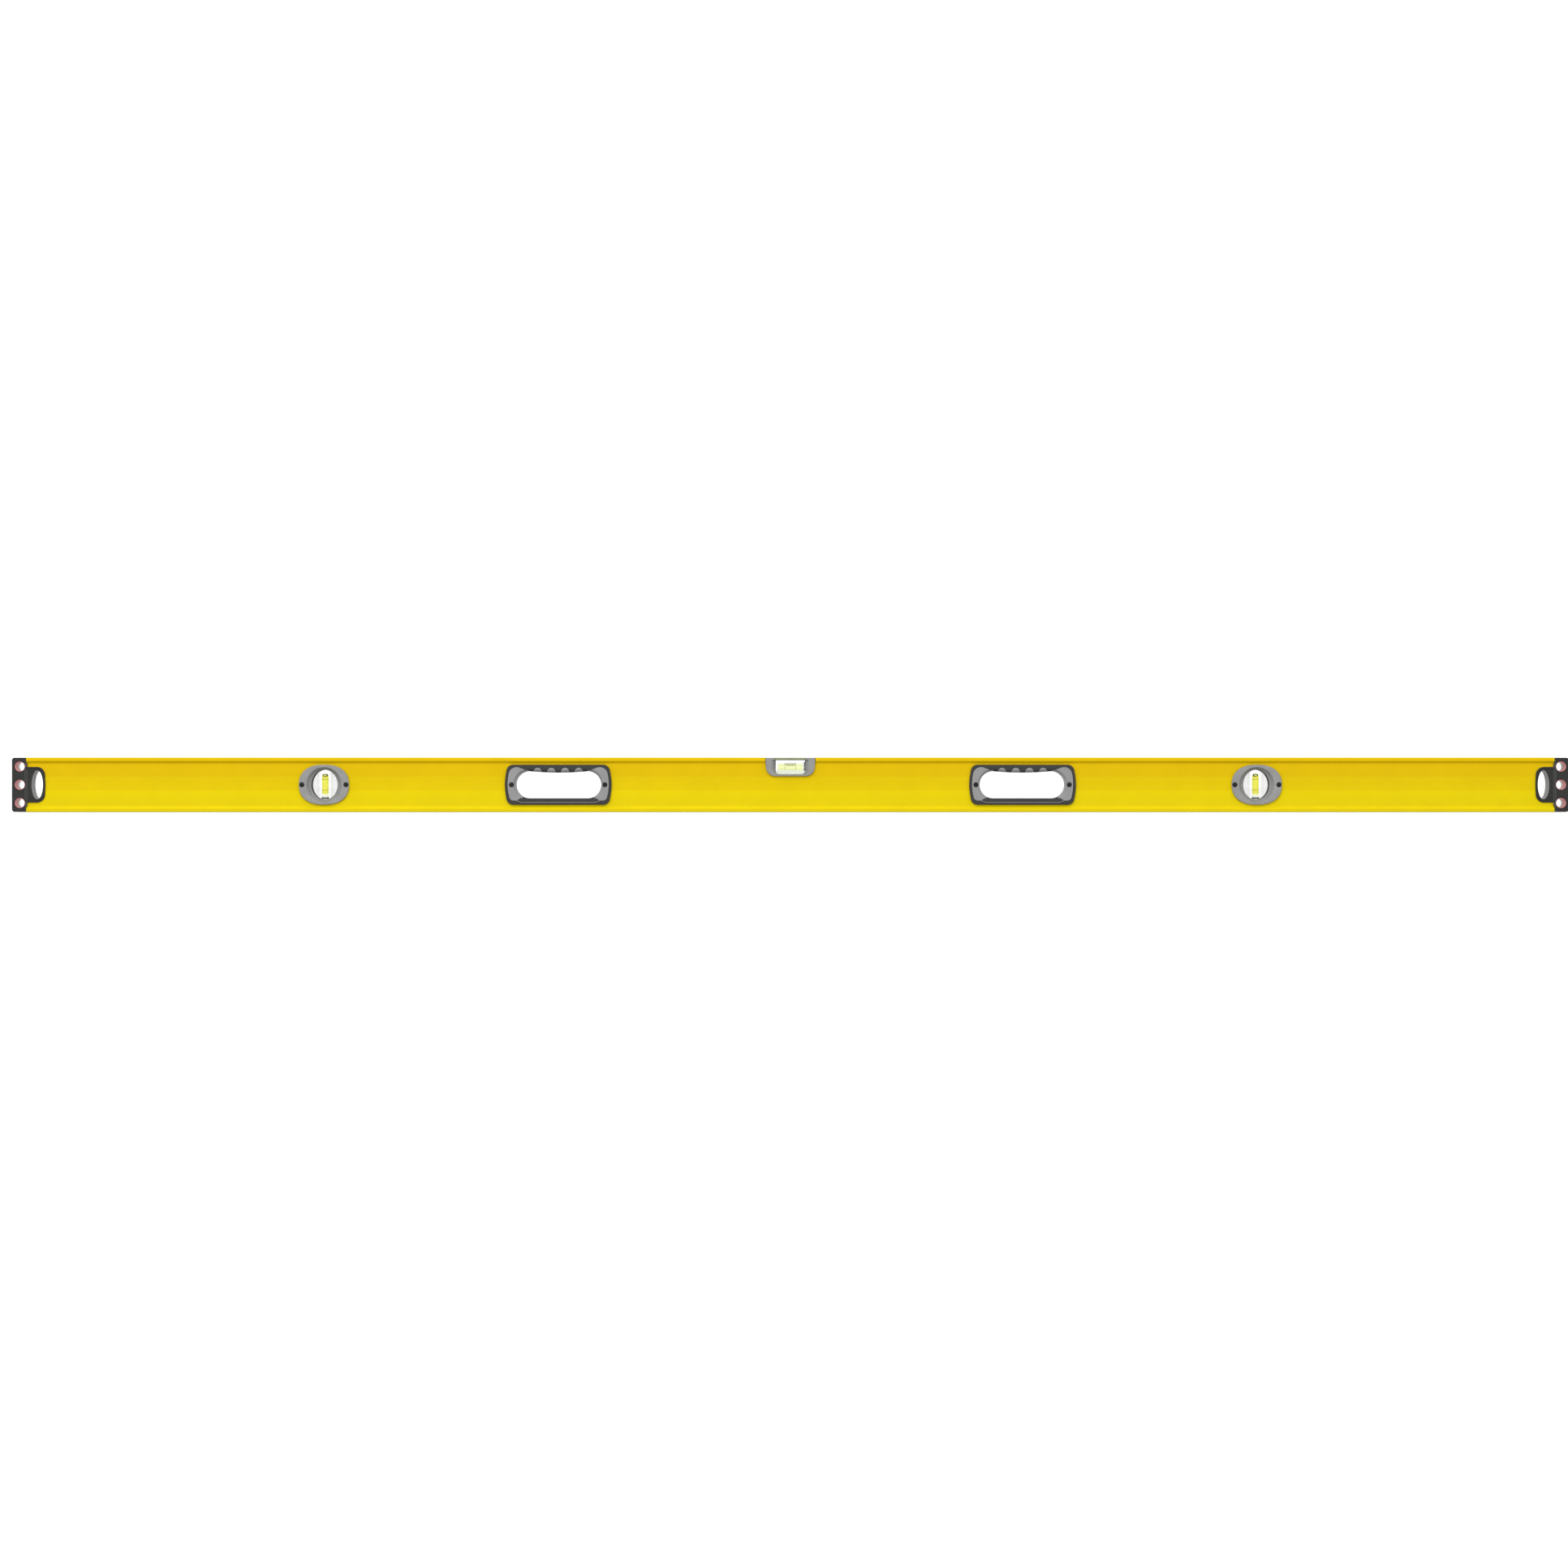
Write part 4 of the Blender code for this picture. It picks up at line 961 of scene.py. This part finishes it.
def in_hang_hole(centre, normal):
    off = math.hypot((centre.x - HANG_CENTRE) / HANG_HALF_WIDTH, centre.z / HANG_HALF_HEIGHT)
    return off < 1.02 and abs(normal.y) < 0.3 and abs(centre.y) < LUG_FACE - LUG_POCKET


def on_slope(centre, normal):
    """The bumper's slope down to the lug, painted paler than the rest as a highlight."""
    near = CAP_RAMP - 0.1 * MM < centre.x < CAP_LAP + 2.2 * MM
    return near and 0.15 < normal.x < 0.98 and abs(normal.y) > 0.2


def bore_liner():
    """Tube with a rounded lip at each end."""
    reach = RAIL - GAP
    outer, inner, soft = BORE_RADIUS + LINER_WALL, BORE_RADIUS, 0.25 * MM
    half = [
        (inner, 0), (inner, reach - soft), (inner + soft * 0.3, reach - soft * 0.3), (inner + soft, reach),
        (outer - soft, reach), (outer - soft * 0.3, reach - soft * 0.3), (outer, reach - soft), (outer, 0),
    ]
    return turned(both_ways(half), ring=True, steps=56)


def build_ends():
    cap = end_cap()
    # the hang hole's wall takes painted light
    tint(cap, 1, in_hang_hole)
    # the slope takes a painted highlight
    tint(cap, 2, on_slope)
    for name, x, turn in (("left", -HALF_LENGTH, None), ("right", HALF_LENGTH, TURNED_ROUND)):
        fit(f"end_bumper_{name}", moved(cap, x, MID, turn), [END_RUBBER, HOLE_WALL_LIGHT, SLOPE_HIGHLIGHT], "black_rubber",
            f"end_cap_{name}")
    row = HALF_LENGTH - BORE_FROM_END
    liners = grown(bore_liner(), ROWS, first=(-row, 0, MID - BORE_RISE), step=(0, 0, BORE_RISE), count=3,
                   row_step=(2 * row, 0, 0), rows=2, seed=1, turn=0.0, material=LINER)
    fit("bore_sleeves", liners, [LINER], "pink_liner", *[
        f"bore_liner_{side}_{level}" for side in ("left", "right") for level in ("lower", "middle", "upper")])


# ---------------------------------------------------------------- screws and their holes

def screw():
    """Domed head with a tapering cross recess, and the shank into the rear boss."""
    seat = SCREW_SEAT + GAP
    head = seat + HEAD_HEIGHT
    body = turned([
        (0, head), (1.3 * MM, head), (2.0 * MM, head - 0.08 * MM), (2.4 * MM, head - 0.22 * MM),
        (2.62 * MM, head - 0.45 * MM), (HEAD_RADIUS, head - 0.7 * MM), (HEAD_RADIUS, seat + 0.15 * MM),
        (HEAD_RADIUS - 0.15 * MM, seat), (SHANK_RADIUS, seat), (SHANK_RADIUS, 0.6 * MM - THREAD_DEPTH),
        (SHANK_RADIUS - 0.6 * MM, -THREAD_DEPTH), (0, -THREAD_DEPTH),
    ], steps=40)
    arms = [loft([
        (oval(wide * 0.62 * MM, tall * 0.62 * MM, 4, 16), head - 1.0 * MM),
        (oval(wide * MM, tall * MM, 4, 16), head + 0.1 * MM)]) for wide, tall in ((1.75, 0.42), (0.42, 1.75))]
    return cut(body, join(*arms))


def counterbore(offset):
    """Screw hole through a front half, with a broken edge at the face."""
    wide, soft = HEAD_RADIUS + GAP, 0.25 * MM
    return turned([
        (0, -BEYOND), (SHANK_RADIUS + GAP, -BEYOND), (SHANK_RADIUS + GAP, SCREW_SEAT), (wide, SCREW_SEAT),
        (wide, FACE - soft), (wide + soft + BEYOND, FACE + BEYOND), (0, FACE + BEYOND),
    ], centre=(offset, 0))


def blind_hole(offset):
    return rod(SHANK_RADIUS + GAP, -BEYOND, THREAD_DEPTH + GAP, centre=(offset, 0), steps=32)


def halves(shape, offset):
    """A front half with its screw holes, and a rear half with its blind ones."""
    return [shape([hole(-offset), hole(offset)]) for hole in (counterbore, blind_hole)]


def fit_halves(name, meshes, place, materials, slot, nodes, end=""):
    """Puts a front mesh and a rear one in place, the rear one mirrored to the back."""
    for face, mesh, turn in zip(("front", "rear"), meshes, (None, TO_BACK)):
        fit(f"{name}_{face}{end}", moved(mesh, *place, turn), materials, slot, f"{nodes}_{face}{end}")


def build_screws(name, places, offset, nodes):
    spacing = places["right"] - places["left"]
    heads = grown(screw(), ROWS, first=(places["left"] - offset, 0, MID), step=(2 * offset, 0, 0), count=2,
                  row_step=(spacing, 0, 0), rows=2, seed=5, turn=math.pi / 2, material=STEEL)
    fit(name, heads, [STEEL], "black_steel", *nodes)


# ---------------------------------------------------------------- hand holes

def hand_cutter():
    rings = [(hand_opening(), -BEYOND)]
    for grow, below in MOUTH:
        share = max(0.0, min(1.0, grow / 2.8))
        rings.append((hand_opening(grow * MM, SILL_DROP * share), FACE - below * MM))
    over = MOUTH[-1][0] * MM + BEYOND
    rings.append((hand_opening(over, SILL_DROP), FACE + BEYOND))
    return loft(rings)


def in_rubber_mouth(centre, normal):
    """The parts of the frame that take the grip's colour: under it, between the pads and along the sill."""
    if normal.y < -0.9 and abs(centre.y + FRAME_FACE) < 0.1 * MM:
        return True
    if abs(normal.z) < 0.35 or abs(centre.z) > HAND_HALF_HEIGHT + 6 * MM or -centre.y < FACE - 3.25 * MM:
        return False
    if centre.z < 0:
        return abs(centre.x) < 41.3 * MM
    on_pad = any(abs(centre.x - across) < PAD_SHARE * FINGER_RADIUS for across, _ in finger_spots())
    return abs(centre.x) < 35 * MM and not on_pad


def domed_pad(radius, low, face, centre):
    soft = 0.4 * MM
    return turned([(0, low), (radius, low), (radius, face - soft), (radius - 0.12 * MM, face - 0.12 * MM),
                   (radius - soft, face), (0, face)], centre=centre)


def both_windows(stations):
    """Solids of the two end windows through (inset, front) stations."""
    return [moulded(outline, stations) for outline in (end_window, lambda inset: swapped(end_window(inset)))]


def handle_frame(holes):
    """Hard half: plate on the web, skirt through the beam, and pads that show through the rubber."""
    pad_face, root = FACE - GAP / 2, SEATED + 0.6 * MM
    made_frame = block(handle_outline(1.05 * MM), SEATED, FRAME_FACE)
    pads = both_windows([(GAP + inset, front) for inset, front in [(0, root), *rim(pad_face, 0.3 * MM, 3)]])
    pads += [domed_pad(FINGER_RADIUS - GAP / 2, root, pad_face, spot) for spot in finger_spots()]
    pads.append(moulded(lambda inset: sill_strip(0.05 * MM + inset), [
        (0, root), *rim(pad_face, 0.25 * MM, 3)]))
    join(made_frame, block(skirt_outline(), SPLIT, root), *pads)
    mesh = made(cut(made_frame, hand_cutter(), *holes))
    tint(mesh, 1, in_rubber_mouth)
    return mesh


def handle_grip():
    """Rubber face that wraps down round the frame's edge, open where the pads show."""
    grip = moulded(handle_outline, [
        (0.25 * MM, SEATED - 0.1 * MM), (0, SEATED + 0.2 * MM), *rim(FACE, GRIP_ROUND, 6)])
    soft = [(0, 0), (0, FACE - 0.3 * MM), (-0.08 * MM, FACE - 0.1 * MM), (-0.3 * MM, FACE + 0.02 * MM),
            (-0.3 * MM - BEYOND, FACE + BEYOND)]
    openings = [*both_windows(soft), block(sill_strip(), 0, FACE + BEYOND),
                block(handle_outline(0.75 * MM), 0, FRAME_FACE + GAP)]
    wide = FINGER_RADIUS + 0.3 * MM
    openings += [turned([
        (0, 0), (FINGER_RADIUS, 0), (FINGER_RADIUS, FACE - 0.25 * MM), (wide, FACE + 0.02 * MM),
        (wide + BEYOND, FACE + BEYOND), (0, FACE + BEYOND)], centre=spot) for spot in finger_spots()]
    return made(cut(grip, hand_cutter(), *openings))


def build_handles():
    frames = halves(handle_frame, HANDLE_SCREW)
    grip = handle_grip()
    for side, x in HANDLES.items():
        for face, frame_mesh, turn in zip(("front", "rear"), frames, (None, TO_BACK)):
            end = f"{face}_{side}"
            fit(f"hand_frame_{end}", moved(frame_mesh, x, MID, turn), [PALE_GREY, RUBBER], "grey_plastic",
                f"handle_frame_{end}")
            fit(f"hand_grip_{end}", moved(grip, x, MID, turn), [RUBBER], "black_rubber", f"handle_grip_{end}")
    build_screws("hand_hole_screws", HANDLES, HANDLE_SCREW,
                 [f"handle_screw_{side}_{label}" for side in HANDLES for label in "ab"])


# ---------------------------------------------------------------- plumb vials

def bezel(holes):
    """Half of a plumb vial's surround: rounded flange, concave dish, window lip and block pocket."""
    floor = PLUMB_BLOCK + GAP
    sill = floor + LIP

    def ring(half_width, half_height, power=2.0):
        return oval(half_width * MM, half_height * MM, power)

    def edge(inset):
        return oval(BEZEL_HALF_WIDTH - inset, FLANGE_HALF_HEIGHT - inset, BEZEL_POWER)

    rings = [(edge(0), SEATED)] + [(edge(inset), front) for inset, front in rim(FACE, BEZEL_ROUND)]
    wide, tall = DISH_MOUTH
    rings += [(ring(21.4, 20.75, 2.08), FACE - 0.12 * MM), (ring(wide, tall, 2.04), FACE - DISH_START)]
    for share in [step / 8 for step in range(1, 8)]:
        sink = DISH_DEPTH * math.sin(share * math.pi / 2) ** 1.15
        rings.append((ring(wide - DISH_RUN[0] * share, tall - DISH_RUN[1] * share), FACE - DISH_START - sink))
    rings += [(ring(15.62, 17.86), sill + 0.25 * MM), (ring(15.38, 17.66), sill - 0.05 * MM),
              (ring(15.3, 17.6), sill - 0.4 * MM), (ring(15.3, 17.6), floor)]
    rings += [(oval(*PLUMB_POCKET), floor), (oval(*PLUMB_POCKET), SPLIT), (oval(*PLUMB_COLLAR), SPLIT),
              (oval(*PLUMB_COLLAR), (sill + SEATED) / 2),
              (oval(PLUMB_COLLAR[0] + 1.7 * MM, PLUMB_COLLAR[1]), SEATED)]
    surround = loft(rings, closed=True)
    join(surround, *[rod(BOSS_RADIUS, SPLIT, SEATED + MM, centre=(x, 0), steps=32)
                     for x in (-PLUMB_SCREW, PLUMB_SCREW)])
    return made(cut(surround, *holes))


def behind_window(centre, normal):
    """Faces of the lip and pocket round the block, painted dark as the shade they lie in."""
    reach = math.hypot(centre.x / (PLUMB_HALF_WIDTH + 0.05 * MM), centre.z / (PLUMB_HALF_HEIGHT + 0.05 * MM))
    return abs(centre.y) < PLUMB_BLOCK + GAP + LIP - 0.1 * MM and reach < 1.13


def plumb_block():
    """Clear block: an oval plate with a thicker upright column, bored from below."""
    half_width, half_height = PLUMB_POCKET[0] - GAP, PLUMB_POCKET[1] - GAP

    def column(inset):
        reach = PLUMB_COLUMN - inset
        return [(max(-reach, min(reach, x)), z) for x, z in oval(half_width, half_height - inset)]

    def plate(inset):
        return oval(half_width - inset, half_height - inset)

    made_block = moulded(plate, two_sided(rim(3 * MM, 0.3 * MM, 3)))
    join(made_block, moulded(column, two_sided(rim(PLUMB_BLOCK, 0.4 * MM, 3))))
    return made(cut(made_block, rod(PLUMB_BORE, -RAIL * 2, PLUMB_HALF_LENGTH, ALONG_Z)))


def on_column_side(centre, normal):
    return abs(normal.x) > 0.8 and abs(abs(centre.x) - PLUMB_COLUMN) < 0.6 * MM


def plug(bore, low, high, along):
    """Stopper for the open end of a vial, with a round seal in its groove."""
    radius, soft = bore - GAP, 0.2 * MM
    groove = radius - 0.8 * MM
    third = (high - low) / 3
    stopper = turned([
        (0, high), (radius - soft, high), (radius, high - soft), (radius, high - third),
        (groove, high - third), (groove, low + third),
        (radius, low + third), (radius, low + soft), (radius - soft, low), (0, low),
    ], along)
    tube, centre = third / 2 - 0.05 * MM, (low + high) / 2
    outer = bore - 0.15 * MM - tube
    angles = [math.tau * step / 12 for step in range(12)]
    seal = turned([(outer + tube * math.cos(angle), centre + tube * math.sin(angle)) for angle in angles],
                  along, ring=True)
    shape = bmesh.new()
    for index, shell in enumerate((made(stopper), made(seal))):
        before = len(shape.faces)
        shape.from_mesh(shell)
        shape.faces.ensure_lookup_table()
        for face in shape.faces[before:]:
            face.material_index = index
    result = bpy.data.meshes.new("stopper")
    shape.to_mesh(result)
    shape.free()
    return result


def liquid(radius, path, reach, along, lift=0.0):
    """The liquid, with the bubble's way left open through it."""
    soft = 0.5 * MM
    ends = [
        (radius, 0), (radius, reach - soft), (radius - 0.15 * MM, reach - 0.15 * MM), (radius - soft, reach)]
    if not lift:
        mesh = made(turned(both_ways(ends + [(path, reach), (path, 0)]), along, ring=True))
        tint(mesh, 1, lambda centre, normal: math.hypot(centre.x, centre.y) < path + 0.05 * MM)
        return mesh
    full = [(0, -reach)] + [(x, -z) for x, z in reversed(ends[1:])] + ends[1:] + [(0, reach)]
    body = turned(full, along)
    surface = slab((-2 * reach, -2 * radius, lift + 0.4 * MM), (2 * reach, 2 * radius, 2 * radius))
    mesh = made(cut(body, rod(path, -2 * reach, 2 * reach, along, centre=(0, lift)), surface))
    tint(mesh, 1, lambda centre, normal: math.hypot(centre.y, centre.z - lift) < path + 0.05 * MM)
    return mesh


def mark_ring(bore, along):
    outer, inner, half = bore - 0.7 * MM, bore - 0.7 * MM - 0.12 * MM, 0.18 * MM
    return turned([(outer, half), (outer, -half), (inner, -half), (inner, half)], along, ring=True)


def bubble(half_x, half_y, half_z):
    """Ellipsoid, a little flatter where it lies against the barrel."""
    def swell(shape):
        bmesh.ops.create_icosphere(shape, subdivisions=4, radius=1)
        for point in shape.verts:
            x, y, z = point.co
            flat = 1 - 0.10 * max(0.0, z) ** 2
            point.co = (x * half_x, y * half_y, z * half_z * flat)

    return made(shaped("bubble", swell))


def build_plumbs():
    bezels = halves(bezel, PLUMB_SCREW)
    for mesh in bezels:
        tint(mesh, 1, behind_window)
    clear = plumb_block()
    tint(clear, 1, on_column_side)
    foot = 2 * GAP - PLUMB_POCKET[1] * math.sqrt(1 - (PLUMB_BORE / PLUMB_POCKET[0]) ** 2)
    top = -PLUMB_HALF_LENGTH - GAP
    stopper = plug(PLUMB_BORE, foot, top, ALONG_Z)
    fluid = liquid(3.8 * MM, 3.3 * MM, PLUMB_HALF_LENGTH - GAP, ALONG_Z)
    for side, x in PLUMBS.items():
        fit_halves("plumb_surround", bezels, (x, MID), [GREY, SHADE], "grey_plastic", "plumb_bezel",
                   f"_{side}")
        fit(f"plumb_lens_{side}", moved(clear, x, MID), [plumb_acrylic(side), CLEAR_EDGE], "clear_acrylic",
            f"plumb_block_{side}")
        fit(f"plumb_stopper_{side}", moved(stopper, x, MID), [PLUG_CLEAR, SEAL], "clear_acrylic",
            f"plumb_plug_{side}")
        colour = vial_liquid(f"plumb_liquid_{side}", (0.86, 0.83, 0.09), (0.72, 0.72, 0.05),
                             ("X", x), ("Z", MID), 10.6 * MM)
        fit(f"plumb_liquid_{side}", moved(fluid, x, MID), [colour, WAY], "vial_fluid", f"plumb_fluid_{side}")
        node = f"plumb_bubble_{side}"
        low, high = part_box(node)
        air = moved(bubble(3.22 * MM, 3.22 * MM, (high.z - low.z) / 2), x, middle(node).z)
        fit(f"plumb_air_{side}", air, [plumb_air(side)], "bubble", node, body=node, sharp=80)
    spacing = PLUMBS["right"] - PLUMBS["left"]
    marks = grown(mark_ring(PLUMB_BORE, ALONG_Z), ROWS, first=(PLUMBS["left"], 0, MID - RING_OFFSET),
                  step=(0, 0, 2 * RING_OFFSET), count=2, row_step=(spacing, 0, 0), rows=2, seed=2, turn=0.0,
                  material=PALE_MARK)
    fit("plumb_marks", marks, [PALE_MARK], "black_marking", *[
        f"plumb_ring_{side}_{level}" for side in PLUMBS for level in ("upper", "lower")])
    build_screws("plumb_surround_screws", PLUMBS, PLUMB_SCREW,
                 [f"plumb_screw_{side}_{label}" for side in PLUMBS for label in "ab"])


# ---------------------------------------------------------------- level vial

def level_housing():
    """Half of the level vial's surround, flush with the upper working face."""
    top = CAP_SHY
    floor = LEVEL_BLOCK + GAP
    sill = floor + LIP
    flange = moulded(lambda inset: housing_outline(inset, top + inset / 2), [
        (0, SEATED), *rim(FACE, 1.2 * MM)])
    side = HOUSING_HALF_WIDTH
    join(flange, block(housing_outline(1.9 * MM, top=top), SPLIT, SEATED + MM),
         slab((-side, -SEATED - MM, MID + WEB_HALF_HEIGHT + 0.05 * MM), (side, -SPLIT, HEIGHT - top)))
    pocket = block(window_outline(SEAT, SEAT - LIP, WINDOW_TOP - LIP), -BEYOND, floor)
    stations = [(0, 0, 0.0), (0, 0, sill - 0.3 * MM), (0.08 * MM, 0.02 * MM, sill)]
    start = sill + 0.25 * MM
    rise = FACE - sill - 0.4 * MM
    for share in [step / 6 for step in range(7)]:
        wide, foot = 0.3 * MM + 4.1 * MM * share ** 1.5, 0.08 * MM + 0.7 * MM * share
        stations.append((wide, foot, start + rise * share))
    wide, foot = 4.9 * MM, 0.95 * MM
    stations += [(wide, foot, FACE + 0.02 * MM), (wide + BEYOND, foot + BEYOND, FACE + BEYOND)]
    flare = loft([(window_outline(wide, foot, WINDOW_TOP - min(wide, 0.5 * MM)), front)
                  for wide, foot, front in stations])
    half = WINDOW_HALF_WIDTH
    top_window = slab((-half, -TOP_WINDOW_HALF_DEPTH, HEIGHT - WINDOW_TOP - MM), (half, MM, HEIGHT + MM))
    band = slab((-BAND_HALF_WIDTH, -FACE - MM, HEIGHT - WINDOW_TOP - 0.4 * MM),
                (BAND_HALF_WIDTH, -FACE + 0.5 * MM, HEIGHT + MM))
    return made(cut(flange, pocket, flare, top_window, band))


def on_top_band(centre, normal):
    return (abs(centre.x) < BAND_HALF_WIDTH and centre.z > HEIGHT - WINDOW_TOP - 0.5 * MM
            and abs(centre.y) > LEVEL_BLOCK + LIP and abs(normal.z) < 0.5)


def round_level_window(centre, normal):
    """The lip and pocket round the block, but not the top opening's own walls: painted dark as shade."""
    return (abs(centre.y) < LEVEL_BLOCK + GAP + LIP - 0.1 * MM and centre.z < HEIGHT - WINDOW_TOP + 0.2 * MM
            and abs(centre.x) < WINDOW_HALF_WIDTH + SEAT + 0.1 * MM)


def level_block():
    def outline(inset):
        return window_outline(SEAT - GAP - inset, SEAT - LIP - GAP - inset, WINDOW_TOP - LIP + GAP + inset)

    body = moulded(outline, two_sided(rim(LEVEL_BLOCK, 0.35 * MM, 3)))
    bore = rod(LEVEL_BORE, -LEVEL_HALF_LENGTH, 2 * RAIL, ALONG_X, centre=(0, LEVEL_AXIS))
    return made(cut(body, bore))


def build_level_vial():
    housing = level_housing()
    # the top band takes olive-tinted painted shade
    tint(housing, 1, on_top_band)
    tint(housing, 2, round_level_window)
    fit_halves("level_surround", [housing] * 2, (0, 0), [GREY, OLIVE_SHADE_BAND, SHADE], "grey_plastic", "level_housing")
    fit("level_lens", level_block(), [level_acrylic()], "clear_acrylic", "level_block")
    low, high = LEVEL_HALF_LENGTH + GAP, WINDOW_HALF_WIDTH + SEAT - GAP
    stopper = plug(LEVEL_BORE, low, high, ALONG_X)
    fit("level_stopper", moved(stopper, z=LEVEL_AXIS), [PLUG_CLEAR, SEAL], "clear_acrylic", "level_plug")
    colour = vial_liquid("level_liquid", (0.91, 0.96, 0.46), (0.80, 0.87, 0.32),
                         ("Z", LEVEL_AXIS), ("X", 0.0), 14.2 * MM)
    fluid = liquid(4.4 * MM, 2.7 * MM, LEVEL_HALF_LENGTH - GAP, ALONG_X, lift=2.3 * MM)
    fit("level_liquid", moved(fluid, z=LEVEL_AXIS), [colour, WAY], "vial_fluid", "level_fluid")
    low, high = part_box("level_bubble")
    air = moved(bubble(*(high - low) / 2), z=middle("level_bubble").z)
    fit("level_air", air, [level_air()], "bubble", "level_bubble", body="level_bubble", sharp=80)
    marks = grown(mark_ring(LEVEL_BORE, ALONG_X), ROWS, first=(-RING_OFFSET, 0, LEVEL_AXIS),
                  step=(2 * RING_OFFSET, 0, 0), count=2, row_step=(0, 0, 0), rows=1, seed=3, turn=0.0,
                  material=MARK)
    fit("level_marks", marks, [MARK], "black_marking", "level_ring_left", "level_ring_right")


build_beam()
build_ends()
build_handles()
build_plumbs()
build_level_vial()


# ---------------------------------------------------------------- floor, light and camera

def lay_floor():
    shape = bmesh.new()
    bmesh.ops.create_grid(shape, x_segments=8, y_segments=8, size=30)
    mesh = bpy.data.meshes.new("floor")
    shape.to_mesh(mesh)
    shape.free()
    mesh.transform(Matrix.Translation((0, 0, -0.2 * MM)))
    mesh.materials.append(floor_cover())
    floor = loose("floor", mesh)
    floor.visible_diffuse = False  # the floor stays pale without throwing light up under the rails


def soft_sky(above, below):
    """Even light all round, weaker from below."""
    world = bpy.data.worlds.new("studio")
    world.use_nodes = True
    scene.world = world
    sky = Nodes(world.node_tree)
    place = sky.add("ShaderNodeTexCoord", output="Generated")
    rise = sky.add("ShaderNodeSeparateXYZ", {"Vector": place}, "Z")
    fade = sky.add("ShaderNodeMapRange", {
        "Value": rise, "From Min": -0.35, "From Max": -0.01, "To Min": below, "To Max": above})
    background = world.node_tree.nodes["Background"].inputs
    background["Color"].default_value = (1, 1, 1, 1)
    sky.tree.links.new(fade, background["Strength"])


def soft_box(name, place, size, power):
    light = bpy.data.lights.new(name, "AREA")
    light.shape = "RECTANGLE"
    light.size, light.size_y = size
    light.energy = power
    lamp = bpy.data.objects.new(name, light)
    lamp.location = place
    lamp.rotation_euler = (Vector((0, 0, MID)) - Vector(place)).to_track_quat("-Z", "Y").to_euler()
    scene.collection.objects.link(lamp)


def set_camera():
    camera = bpy.data.cameras.new("camera")
    camera.sensor_width = 36
    camera.lens = 86
    camera.clip_start, camera.clip_end = 0.01, 200
    eye = bpy.data.objects.new("camera", camera)
    eye.location = (-7.5 * MM, -4.414, 32.9 * MM)
    eye.rotation_euler = (math.pi / 2, 0, 0)
    scene.collection.objects.link(eye)
    scene.camera = eye


lay_floor()
soft_sky(1.2, 0.60)
soft_box("key", (-0.8, -2.6, 2.4), (3.0, 1.2), 46)
set_camera()
scene.view_settings.view_transform = "Standard"
